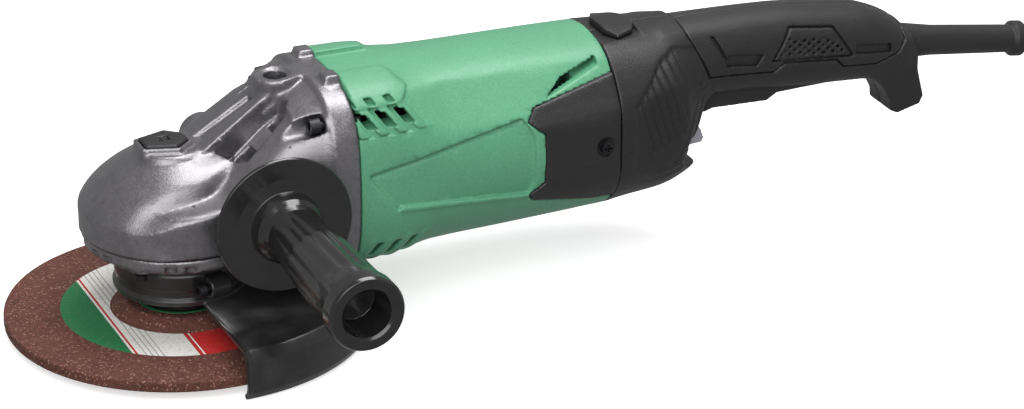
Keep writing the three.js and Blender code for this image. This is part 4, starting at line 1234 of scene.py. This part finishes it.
# ---- motor ---------------------------------------------------------------------------------------------
@dataclass
class Flanks:
    """A hollow body whose two flanks take relief, drawn as outlines seen from the side."""

    block: Block
    skin: Field
    body: Field
    front_x: float

    def seen(self, outline: Outline, inner: float) -> tuple[Field, Field]:
        """An outline through the body, and what keeps it further than inner from the mirror plane."""
        return outline_distance(self.block.x, self.block.z, outline), inner - np.abs(self.block.y)

    def sink(self, outline: Outline, depth: Field | float, inner: float, corner: float = 0.0,
             blend: float = 0.0) -> None:
        """Cuts an outline to a depth below the skin.

        Args:
            outline: Its corners as x and z.
            depth: How deep the floor lies.
            inner: How near to the mirror plane it may come.
            corner: The rounding between floor and wall.
            blend: The rounding of the rim.
        """
        plan, limit = self.seen(outline, inner)
        self.body = cut(self.body, both(plan, np.maximum(-(self.skin + depth), limit), corner), blend=blend)

    def pierce(self, outline: Outline, inner: float, blend: float) -> None:
        """Cuts an outline right through the wall."""
        self.body = cut(self.body, both(*self.seen(outline, inner)), blend=blend)

    def swell(self, outline: Outline, height: float, shoulder: float, inner: float, corner: float,
              blend: float) -> None:
        """Raises an outline to a height above the skin.

        Args:
            outline: Its corners as x and z.
            height: How high its face lies.
            shoulder: The rounding of the face's edge.
            inner: How near to the mirror plane it may come.
            corner: The rounding of its inner and front ends.
            blend: The fillet where it meets the skin.
        """
        plan, limit = self.seen(outline, inner)
        face = both(plan, self.skin - height, shoulder)
        self.body = union(self.body, both(face, np.maximum(limit, self.front_x - self.block.x), corner), blend=blend)


@dataclass
class Motor:
    """The motor's housing, side covers and inner pieces."""

    front_x: float = 79.3
    rear_x: float = 223.3
    bore: float = 44.6
    cover_screw_x: float = 214.5
    cover_gap: float = 0.3
    upper_pitch: float = 10.4
    lower_pitch: float = 9.6

    def stations(self) -> list[tuple[float, ...]]:
        """The housing's sections."""
        z = MOTOR_Z
        return [(self.front_x, 50, z - 49.6, z + 50, 3.2), (98, 50, z - 49.6, z + 50, 3.1),
                (112, 50, z - 49.4, z + 50, 2.6), (126, 49.8, z - 49.4, z + 49.9, 2.2),
                (150, 49.6, z - 49.2, z + 49.8, 2.1), (190, 48.8, z - 48.2, z + 49.4, 2.1),
                (self.rear_x, 47.8, z - 47.2, z + 48.8, 2.1)]

    def cover_outline(self, grow: float = 0.0) -> list[tuple[float, float]]:
        """A side cover's outline, grown all round."""
        end = self.rear_x + 6 if grow else self.rear_x - self.cover_gap
        return [(171.5 - grow, 92.3), (176 - grow, 98 + grow), (end, 107.6 + grow), (end, 38 - grow),
                (175 - grow, 48.5 - grow), (172 - grow, 52.9), (180 - grow, 58.5), (180.3 - grow, 84.8)]

    def build(self) -> None:
        """Builds and dresses every piece of the motor."""
        self.housing()
        for name, sign in SIDES:
            self.side_cover(name, sign)
        screws = ScrewMaker(Recess.CROSS)
        for name, sign in SIDES:
            place = ((self.cover_screw_x, sign * 46.3, MOTOR_Z), (0.0, float(sign), 0.0))
            dress(screws.screws(f"brush_cover_screw_{name}", Screw(3.8, 2.0, 1.9, 11.0), [place]),
                  Finish.BLACK_STEEL, "housing", f"side_cover_screw_{name}")
            dress_node(f"brush_holder_{name}", Finish.BRASS)
            dress_node(f"carbon_brush_{name}", Finish.CARBON)
        for node in ("rotor_shaft", "pinion", "front_bearing", "rear_bearing"):
            dress_node(node, Finish.STEEL)
        for node in ("armature_core", "stator_core"):
            dress_node(node, Finish.BLACK_STEEL)
        for node in ("armature_winding", "commutator", "field_coil_upper", "field_coil_lower"):
            dress_node(node, Finish.COPPER)
        for node in ("fan", "fan_guide"):
            dress_node(node, Finish.BLACK)

    def housing(self) -> None:
        """The housing: vents with slanted ribs, a framed panel on each side, and seats for the side covers."""
        block = Block((78, -51.5, 21), (224.8, 51.5, 123.6), 0.8)
        x, z, aside = block.x, block.z, np.abs(block.y)
        skin = block.loft(self.stations())
        body = both(skin, np.maximum(self.front_x - x, x - self.rear_x), 0.8)
        body = both(body, (z - 121.9) + (aside - 8) * 0.12 + np.maximum(aside - 26, 0) * 0.2, 4.0)
        body = both(body, 0.75 * aside + 0.66 * z - 96.7 + np.minimum(x - 130, 0) * 0.2 + (x - 130) * 0.012, 0.4)
        flanks = Flanks(block, skin, body, self.front_x)
        self.vents(flanks)
        self.panels(flanks)
        pockets = both(outline_distance(x, z, self.cover_outline(self.cover_gap)), -(skin + 2.9), 0.4)
        flanks.body = cut(flanks.body, both(pockets, 20 - aside))
        flanks.sink([(184, 100.6), (194.5, 108.2), (217, 114.4), (217, 110.6)], 6.5, 20, 0.3, 0.4)
        axis = (0.0, MOTOR_Z)
        air = [block.rod(Axis.X, (y, MOTOR_Z + h), 9, 200, 230) for y, h in (polar(27, d) for d in QUARTERS)]
        corners = [block.rod(Axis.X, place, 2.8, 70, 90) for place in long_screw_places()]
        screw_bore = both(np.sqrt((x - self.cover_screw_x) ** 2 + (z - MOTOR_Z) ** 2) - 2.2, 30 - aside)
        body = cut(flanks.body, block.rod(Axis.X, axis, self.bore, 70, 203),
                   block.rod(Axis.X, axis, 11.3, 200, 218.6), *air, *corners, screw_bore)
        dress(block.piece("motor_housing_shell", body), Finish.GREEN, "housing", "motor_housing")

    def vents(self, flanks: Flanks) -> None:
        """The air slots with their slanted ribs, above and below on both sides."""
        flanks.sink([(78, 99.2), (111, 99.2), (105, 112.6), (78, 112.6)], 1.3, 26, 0.4, 1.0)
        flanks.swell([(78, 112.8), (105.4, 112.8), (111.4, 117.6), (102, 126), (78, 126)], 1.8, 1.0, 14, 0.8, 1.2)
        for i in range(4):
            foot = 84.0 + self.upper_pitch * i
            flanks.swell([(foot - 18, 118), (foot - 12.6, 118), (foot + 1.4, 99.8), (foot - 4.0, 99.8)],
                         0.9, 0.6, 26, 0.5, 0.6)
        for i in range(3):
            middle = 83.2 + self.upper_pitch * i
            flanks.pierce([(middle - 3.2, 110), (middle + 1.7, 110), (middle + 6.6, 102.8), (middle + 1.7, 102.8)],
                          30, 0.4)
            flanks.sink([(middle - 8.2, 116.4), (middle - 4.2, 116.4), (middle - 2.0, 113.4), (middle - 6.0, 113.4)],
                        1.8, 28, blend=0.6)
            low = 84.4 + self.lower_pitch * i
            flanks.pierce([(low - 0.6, 32), (low + 3.6, 32), (low + 8.6, 40.4), (low + 3.6, 40.4)], 30, 0.5)
        for i in range(4):
            low = 80.2 + self.lower_pitch * i
            flanks.swell([(low - 1.6, 26.4), (low + 1.8, 26.4), (low + 9.8, 43), (low + 5.4, 43)],
                         0.6, 0.8, 26, 0.6, 0.8)

    def panels(self, flanks: Flanks) -> None:
        """The sunk panel on each side, with a groove above it, a ridge below it and a raised border at its end."""
        depth = 1.5 + np.clip((flanks.block.x - 120) / 60, 0, 1) * 0.6
        flanks.sink([(84, 78.4), (169.6, 93), (176, 86), (176, 58), (171, 52.6), (99, 58.8)], depth, 20, 0.6, 0.8)
        flanks.sink([(86, 78.2), (166, 91.6), (169.5, 93.4), (168, 94.6), (84, 79.8)], 2.7, 20, 0.4, 1.0)
        flanks.swell([(99, 57.6), (171.5, 51), (173, 53.6), (101, 60.4)], 1.0, 1.0, 20, 0.0, 0.8)
        flanks.swell([(170.4, 93), (180.4, 85), (180.4, 58.4), (171.4, 53), (174.4, 60), (174.4, 84)],
                     -0.1, 1.2, 20, 0.0, 0.8)

    def side_cover(self, name: str, sign: int) -> None:
        """One brush cover, with its faceted face and screw recess."""
        low, high = ((-50.8, -20) if sign < 0 else (20, 50.8))
        block = Block((168, low, 41), (224.5, high, 114), 0.7)
        x, z, aside = block.x, block.z, np.abs(block.y)
        *stations, last = self.stations()
        skin = block.loft([*stations, (last[0] + 8, *last[1:])])
        facets = both((aside - 47.3) * 0.84 + (z - 90) * 0.54, aside - 47.9, 0.3)
        facets = both(facets, aside - 47.9 + (x - 214) * 0.15, 0.3)
        face = both(skin - 1.1, facets, 0.4)
        shape = both(both(outline_distance(x, z, self.cover_outline()), face, 1.0), -(skin + 2.7))
        shape = both(shape, x - (self.rear_x - self.cover_gap), 0.4)
        off = np.sqrt((x - self.cover_screw_x) ** 2 + (z - MOTOR_Z) ** 2)
        shape = cut(cut(shape, both(off - 5.0, 46.4 - aside), blend=0.6), off - 2.3)
        dress(block.piece(f"brush_cover_{name}", shape), Finish.BLACK, "housing", f"side_cover_{name}")


# ---- tail handle -----------------------------------------------------------------------------------------
@dataclass
class TailHandle:
    """The two handle shells with their soft skins, pad, switch pieces and cord boot."""

    front_x: float = 223.45
    half_gap: float = 0.15
    pivot: tuple[float, float] = (368.0, 79.0)
    boot_root: tuple[float, float] = (404.0, 83.4)
    boot_tip: tuple[float, float] = (484.5, 72.1)
    pad_top: float = 121.5
    cell: float = 0.75

    BODY = ((223.4, 47.8, 25, 121.2, 2.1), (240, 46.4, 27.4, 120, 2.15), (256, 42.5, 30, 118.7, 2.3),
            (268, 35, 32.2, 117.6, 2.4), (278, 26, 34, 116.2, 2.4), (286.5, 16, 36.5, 113, 2.4))
    GRIP = ((262, 31, 68, 115.4, 2.4), (282, 22.6, 73.4, 117, 2.4), (304, 20.6, 72.6, 116.6, 2.5),
            (330, 20, 70.4, 115.6, 2.5), (356, 20.2, 68.6, 112.6, 2.6), (378, 20.4, 67.6, 109.4, 2.6),
            (392, 19.2, 66.8, 104.8, 2.5), (404, 16.5, 67.4, 98, 2.3), (411.5, 11.5, 71, 90.6, 2.1))
    SIDE_VIEW = ((218, 20), (266, 20), (283, 31.4), (285.2, 34.4), (281.6, 38.2), (270, 43.2), (265.6, 47.4),
                 (273.2, 59), (281.6, 69), (288, 75), (296, 80), (296, 125), (218, 125))
    HOOK = ((384, 84), (388, 70), (395.4, 59.5), (398.6, 53), (399, 48), (403, 46), (416.4, 49.4), (418.6, 54),
            (412.6, 78), (409.5, 88))
    SOFT = ((272, 122), (274, 112), (285.6, 89), (324, 85.2), (330, 89.6), (361, 86.6), (365.5, 81.8), (385, 80.2),
            (399, 84), (404, 90), (402, 106), (392, 112))
    PAD = ((322.6, 91.4), (333.4, 108), (359.2, 104.6), (370.4, 87.4))
    STUDDED = ((325.4, 92.6), (332, 103.4), (360.4, 99.6), (367.4, 89))
    SCREWS = ((262, 84, -24), (292, 106, -12), (386, 94, -10))
    SKIN = 1.9
    SKIN_BED = 2.2
    RIB_PITCH = 5.2
    DIAMOND = 5.6

    def build(self) -> None:
        """Builds and dresses every piece of the tail handle."""
        for name, sign in SIDES:
            self.half(name, sign)
        self.handle_screws()
        self.pad()
        self.trigger()
        self.lever()
        self.boot()
        dress_node("switch_body", Finish.BLACK)
        dress_node("cord_clamp", Finish.BLACK)
        dress_node("trigger_pin", Finish.STEEL)

    def seat(self, x: float) -> float:
        """How far out the right-hand screw seats are at x."""
        rows = self.BODY if x < 270 else self.GRIP
        return float(np.interp(x, [r[0] for r in rows], [r[1] for r in rows])) - 6.4

    def screw_rods(self, block: Block, radius: float, ends: Sequence[tuple[float, float]]) -> list[Field]:
        """A round bar across each screw place, between its two ends."""
        return [block.rod(Axis.Y, (x, z), radius, low, high) for (x, z, _), (low, high) in zip(self.SCREWS, ends)]

    def half(self, name: str, sign: int) -> None:
        """One shell and its soft skin."""
        low, high = ((-49, 1.4) if sign < 0 else (-1.4, 49))
        block = Block((222.4, low, 22.5), (420.5, high, 123.5), self.cell)
        x, z, aside = block.x, block.z, np.abs(block.y)
        grip = both(block.loft(self.GRIP), (z - 104) * 0.35 + (aside - 20.6) * 0.94, 2.0)
        body = both(block.loft(self.BODY), outline_distance(x, z, self.SIDE_VIEW), 3.0)
        body = both(body, self.facets(x, z, aside), 1.4)
        hook = both(outline_distance(x, z, self.HOOK), aside - 13.5, 2.6)
        outside = union(union(body, grip, blend=7.0), hook, blend=7.0)
        outside = both(outside, self.front_x - x, 0.8)
        soft = outline_distance(x, z, self.SOFT)
        mirror_side = self.half_gap - sign * block.y
        shape = outside + self.ribs(x, z) + self.brim(x, z, aside)
        shape = cut(shape, *self.hollows(block), both(soft, -(grip + self.SKIN_BED)),
                    block.slab((222, -20.6, 117.2), (248, 20.6, 130)), blend=0.5)
        shape = cut(shape, both(np.abs(soft) - 0.55, -(outside + 1.2)), blend=0.5)
        if sign > 0:
            seats = [self.seat(x) for x, _, _ in self.SCREWS]
            shape = union(shape, *self.screw_rods(block, 4.8, [(screw[2] - 1, seat) for screw, seat
                                                               in zip(self.SCREWS, seats)]))
            shape = cut(shape, *self.screw_rods(block, 4.6, [(seat, 60) for seat in seats]), blend=0.5)
        shape = both(shape, mirror_side)
        dress(block.piece(f"handle_half_{name}", shape), Finish.BLACK, "housing", f"handle_shell_{name}")
        skin = both(grip, -(grip + self.SKIN))
        skin = both(skin + self.grip_relief(x, z), soft + 0.35, 0.9)
        skin = both(skin, mirror_side, 0.3)
        if sign > 0:
            skin = cut(skin, *self.screw_rods(block, 5, [(0, 60)] * len(self.SCREWS))[1:], blend=0.5)
        dress(block.piece(f"soft_skin_{name}", skin), Finish.SOFT, "housing", f"soft_grip_{name}")

    def hollows(self, block: Block) -> list[Field]:
        """What is empty inside the shells: front and rear chambers, trigger and lever slots, the boot's seat."""
        x, z = block.x - self.boot_root[0], block.z - self.boot_root[1]
        dx, dz = self.boot_axis()
        along = x * dx + z * dz
        off = np.sqrt((x * -dz + z * dx) ** 2 + block.y ** 2)
        return [block.loft([(222, 41, 32, 114, 2.2), (232, 38, 33, 113.6, 2.2), (246, 33, 36, 112.6, 2.3),
                            (258, 27, 42, 112, 2.4), (272, 17, 62, 112, 2.4)]),
                block.loft([(268, 17, 78, 112.4, 2.4), (300, 15.6, 80.6, 111.6, 2.4), (345, 15, 80, 109, 2.4),
                            (378, 15, 79.4, 104.4, 2.4), (392, 13.4, 79, 99, 2.3)]),
                block.slab((283.5, -11.8, 60), (374, 11.8, 92)), block.slab((262, -5.4, 42), (300, 5.4, 60)),
                both(off - 10, 1 - along), both(off - 12.6, np.maximum(-7 - along, along - 2.2))]

    def boot_axis(self) -> tuple[float, float]:
        """The boot's direction as x and z."""
        run = (self.boot_tip[0] - self.boot_root[0], self.boot_tip[1] - self.boot_root[1])
        length = math.hypot(*run)
        return run[0] / length, run[1] / length

    def facets(self, x: Field, z: Field, aside: Field) -> Field:
        """The flat faces on the front body's flanks."""
        upper = (z - 96) * 0.42 + (aside - 46.4) * 0.9 + (x - 226) * 0.22
        flank = (aside - 46.6) + np.maximum(x - 231, 0) * 0.3
        return both(upper, flank, 1.0)

    def ribs(self, x: Field, z: Field) -> Field:
        """The fan of overlapping ribs on the flanks, as a depth below the skin."""
        hollow = outline_distance(x, z, [(231, 56), (248, 48.4), (262, 49.6), (272, 56), (283, 80), (278, 108),
                                         (262, 112), (250, 108), (231, 90)])
        region = outline_distance(x, z, [(234, 90), (250, 107), (262, 110), (268, 96), (268, 66), (240, 60)])
        step = np.mod((x + (z - 80) * 0.32) / self.RIB_PITCH, 1.0)
        crest = np.clip(step / 0.82, 0, 1) - np.clip((step - 0.82) / 0.18, 0, 1)
        inside = np.clip(-region / 1.2, 0, 1)
        lip = outline_distance(x, z, [(236, 49), (249, 45.6), (262, 46.8), (272, 52), (292, 44), (292, 28), (268, 16),
                                      (236, 20)])
        return (np.clip(-hollow / 1.6, 0, 1) * 1.2 - np.clip(-lip / 2.0, 0, 1) * np.clip((x - 236) / 24, 0, 1) * 1.1
                + inside * (0.9 - 1.7 * crest)).astype(np.float32)

    def brim(self, x: Field, z: Field, aside: Field) -> Field:
        """A raised rim that runs down the back of the front body, as a negative depth."""
        line = outline_distance(x, z, [(284.6, 86), (278, 76), (272.4, 64), (262.6, 47.4), (260.4, 49), (268.8, 65),
                                       (275, 78), (281.6, 87.6)])
        return -np.clip(0.6 - line / 1.2, 0, 1) * 0.9 * np.clip((aside - 4) / 3, 0, 1)

    def grip_relief(self, x: Field, z: Field) -> Field:
        """Recesses and the diamond pad of the soft skin, as a depth below it."""
        bars = [[(296.2, 99.6), (317.4, 96.4), (313.6, 90.6), (297.4, 93)],
                [(372.2, 93.2), (394, 90), (394.4, 85), (372.4, 88)],
                [(287, 110), (289.2, 109.8), (298, 92.8), (295.8, 92.8)]]
        depth = sum(np.clip(0.5 - outline_distance(x, z, bar) / 0.9, 0, 1) * 1.3 for bar in bars)
        pad = outline_distance(x, z, self.PAD)
        rim = np.clip(1.2 - np.abs(pad + 0.2) / 0.8, 0, 1) * 1.1
        lean = (z - 96) * 1.4
        u, v = (x + lean) / self.DIAMOND, (x - lean) / self.DIAMOND
        studs = np.clip((np.abs(np.mod(u, 1) - 0.5) + np.abs(np.mod(v, 1) - 0.5)) * 1.8 - 0.5, 0, 1.1)
        inside = np.clip(-(outline_distance(x, z, self.STUDDED) + 0.4) / 0.8, 0, 1)
        return (depth + rim + inside * studs).astype(np.float32)

    def handle_screws(self) -> None:
        """The screws that hold the two shells together."""
        maker = ScrewMaker(Recess.CROSS)
        for i, (x, z, tip) in enumerate(self.SCREWS, 1):
            seat = self.seat(x)
            piece = maker.screws(f"shell_screw_{i}", Screw(4.2, 2.4, 1.9, seat - tip - 1),
                                 [((x, seat + 0.3, z), (0.0, 1.0, 0.0))])
            dress(piece, Finish.BLACK_STEEL, "housing", f"handle_screw_{i}")

    def pad(self) -> None:
        """The flat pad on top, with its corners cut off."""
        block = Block((226.6, -20, 115.6), (250, 20, 125.6), 0.5)
        outline = [(230, -9), (234, -17.6), (244, -13), (248, -6), (248, 6), (244, 13), (234, 17.6), (230, 9)]
        above = block.z - self.pad_top
        shape = both(block.prism(Axis.Z, outline, 117.6, 128), above + (block.x - 230) * 0.03, 0.8)
        shape = both(shape, above + np.maximum(np.abs(block.y) - 6, 0) * 0.17, 0.8)
        dress(block.piece("top_rest_pad", shape), Finish.BLACK, "housing", "top_pad")

    def trigger(self) -> None:
        """The long paddle of the switch, rounded across, with a step in front."""
        block = Block((283.6, -12.2, 63.2), (374, 12.2, 84.4), 0.6)
        view = [(285, 67.6), (288, 64.6), (293, 66.2), (325, 65.2), (331, 68.8), (368, 69.8), (372.4, 74),
                (372.4, 81), (366, 83), (336, 81), (300, 82), (288, 80), (285, 76)]
        shape = both(outline_distance(block.x, block.z, view), np.abs(block.y) - 10.9, 2.6)
        groove = np.clip(0.5 - np.abs(np.mod(block.x, 6.0) - 3.0), 0, 1) * np.clip((68 - block.z) / 2, 0, 1) * 0.5
        shape = shape + groove * ((block.x > 294) & (block.x < 322))
        shape = cut(shape, block.rod(Axis.Y, self.pivot, 2.3, -20, 20))
        dress(block.piece("switch_paddle", shape), Finish.BLACK, "switch_trigger", "trigger")

    def lever(self) -> None:
        """The grey lock-off lever, with grip steps on its tip."""
        block = Block((268.8, -6.1, 43.4), (293, 6.1, 58), 0.4)
        view = [(270, 45.2), (286, 44.8), (289.7, 45.3), (291.3, 47.6), (289.4, 53.2), (285.8, 56.6), (270, 56.6)]
        shape = both(outline_distance(block.x, block.z, view), np.abs(block.y) - 4.9, 1.6)
        shape = shape + np.clip(0.6 - np.abs(np.mod(block.z, 2.0) - 1.0), 0, 1) * (block.x > 284) * 0.5
        dress(block.piece("lock_off_button", shape), Finish.GREY, "lock_off", "lock_off_lever")

    def boot(self) -> None:
        """The cord boot: a collar in the handle's end, then a tapering sleeve with a bead at its mouth."""
        length = math.hypot(self.boot_tip[0] - self.boot_root[0], self.boot_tip[1] - self.boot_root[1])
        boot = revolve("cord_sleeve", [
            (4.6, -5.6), (12, -5.6), (12, 0.6), (9.6, 0.6), (9.6, 6), (8.2, 24), (7.6, length - 8), (9.7, length - 6),
            (9.7, length - 1.2), (8.8, length), (4.6, length)], axis=Axis.X, rounding=0.5, segments=96)
        dx, dz = self.boot_axis()
        for vertex in boot.data.vertices:
            x, z = vertex.co.x, vertex.co.z
            vertex.co.x = x * dx - z * dz + self.boot_root[0] * MM
            vertex.co.z = x * dz + z * dx + self.boot_root[1] * MM
        dress(boot, Finish.SOFT, "housing", "cord_boot")


@dataclass
class SideHandle:
    """The screwed-in side handle: dished flange, neck and fluted grip with a hollow end."""

    x: float = 33.0
    z: float = 69.0
    face: float = 61.7
    length: float = 114.0
    flutes: int = 14

    def build(self) -> None:
        """Builds and dresses the handle."""
        end = self.length
        hub = [(0, 0.3), (6.3, 0.3), (15, 0.3), (24, 1.0), (34.6, 1.4), (35.4, 2.6), (34.8, 4.0), (25, 4.2),
               (18.6, 5.4), (17.6, 9.6), (17.2, 12.0), (15.4, 14.6), (14.2, 18), (14, 22), (14.2, 27), (14.8, 33)]
        grip = [(15.2, 38), (15.6, 44), (16.2, 50), (16.6, 60), (16.9, 70), (17.1, 80), (17.3, 90), (17.6, 96),
                (18.2, 100), (19, 104), (19, end - 2)]
        fine = [(a[0] + (b[0] - a[0]) * t, a[1] + (b[1] - a[1]) * t)
                for a, b in zip(grip, grip[1:]) for t in (0, 0.25, 0.5, 0.75)]
        mouth = [(19, end - 2), (18, end), (13.4, end), (12, end - 1.4), (11, end - 20), (0, end - 20)]
        blank = revolve("side_grip_blank", [(r, h + self.face) for r, h in (*hub, *fine, *mouth)], axis=Axis.Y,
                        centre=(self.x, 0, self.z), rounding=0.7, segments=168)
        for vertex in blank.data.vertices:
            vertex.co.y = -vertex.co.y
        blank.data.flip_normals()
        piece = FluteMaker().apply(blank, Finish.GLOSS, Centre_X=self.x * MM, Centre_Z=self.z * MM,
                                   Flutes=self.flutes, Depth=0.9 * MM, Start=(self.face + 22) * MM,
                                   End=(self.face + 97) * MM, Fade=1 / (9 * MM))
        piece.name = "side_grip"
        dress(piece, Finish.GLOSS, "side_handle", "side_handle_grip")
        dress_node("side_handle_stud", Finish.STEEL)


# ---- studio ----------------------------------------------------------------------------------------------
@dataclass
class Studio:
    """The floor, the lights and the camera."""

    floor_z: float = -6.2
    camera: Point = (-552.43, -1685.20, 850.80)
    direction: Point = (0.36470531, 0.83645485, -0.40906395)
    lens: float = 135.775
    sensor: float = 36.0
    farthest: float = 20.0
    floor_half: float = 4000.0
    floor_colour: Colour = paint(245, 245, 245)
    floor_glow: float = 0.55
    sky_strength: float = 0.34
    aim: Point = (0.15, 0.0, 0.06)

    def build(self) -> None:
        """Sets up everything round the object."""
        corners = np.array([(x * self.floor_half, y * self.floor_half, self.floor_z)
                            for x, y in ((-1, -1), (1, -1), (1, 1), (-1, 1))])
        floor = mesh_object("floor", corners, [np.array([[0, 1, 2, 3]])], smooth=False)
        graph = Graph("pale_floor")
        tone = graph.noise(300, 2).spread(0.3, 0.7)
        floor.data.materials.append(graph.surface(
            Base_Color=graph.mix(tone * 0.2, self.floor_colour, paint(238, 238, 238)), Roughness=0.9,
            Emission_Color=(1.0, 1.0, 1.0, 1.0), Emission_Strength=self.floor_glow))
        floor.visible_diffuse = floor.visible_glossy = False
        self.light("key", (-0.476, -1.09, 1.07), 1.5, 23.0)
        self.light("top", (0.42, 0.12, 1.3), 0.75, 13.0)
        world = bpy.data.worlds.new("studio")
        world.use_nodes = True
        sky = world.node_tree.nodes["Background"]
        sky.inputs["Color"].default_value = (1.0, 1.0, 1.0, 1.0)
        sky.inputs["Strength"].default_value = self.sky_strength
        bpy.context.scene.world = world
        bpy.context.scene.view_settings.view_transform = "Standard"
        data = bpy.data.cameras.new("camera")
        data.lens, data.sensor_width, data.clip_end = self.lens, self.sensor, self.farthest
        camera = bpy.data.objects.new("camera", data)
        bpy.context.scene.collection.objects.link(camera)
        camera.location = Vector(self.camera) * MM
        camera.rotation_euler = Vector(self.direction).to_track_quat("-Z", "Y").to_euler()
        bpy.context.scene.camera = camera

    def light(self, name: str, place: Point, size: float, power: float) -> None:
        """A soft square light that faces the middle of the object.

        Args:
            name: The light's name.
            place: Where it is, in metres.
            size: Its side in metres.
            power: Its power in watts.
        """
        data = bpy.data.lights.new(name, "AREA")
        data.size, data.energy = size, power
        light = bpy.data.objects.new(name, data)
        bpy.context.scene.collection.objects.link(light)
        light.location = place
        light.rotation_euler = (Vector(self.aim) - Vector(place)).to_track_quat("-Z", "Y").to_euler()


def main() -> None:
    """Builds the studio and every sub-assembly."""
    logging.basicConfig(level=logging.INFO, format="%(message)s")
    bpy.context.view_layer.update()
    for part in (Studio(), WheelEnd(), Guard(), GearHead(), Motor(), TailHandle(), SideHandle()):
        part.build()


if __name__ == "__main__":
    main()
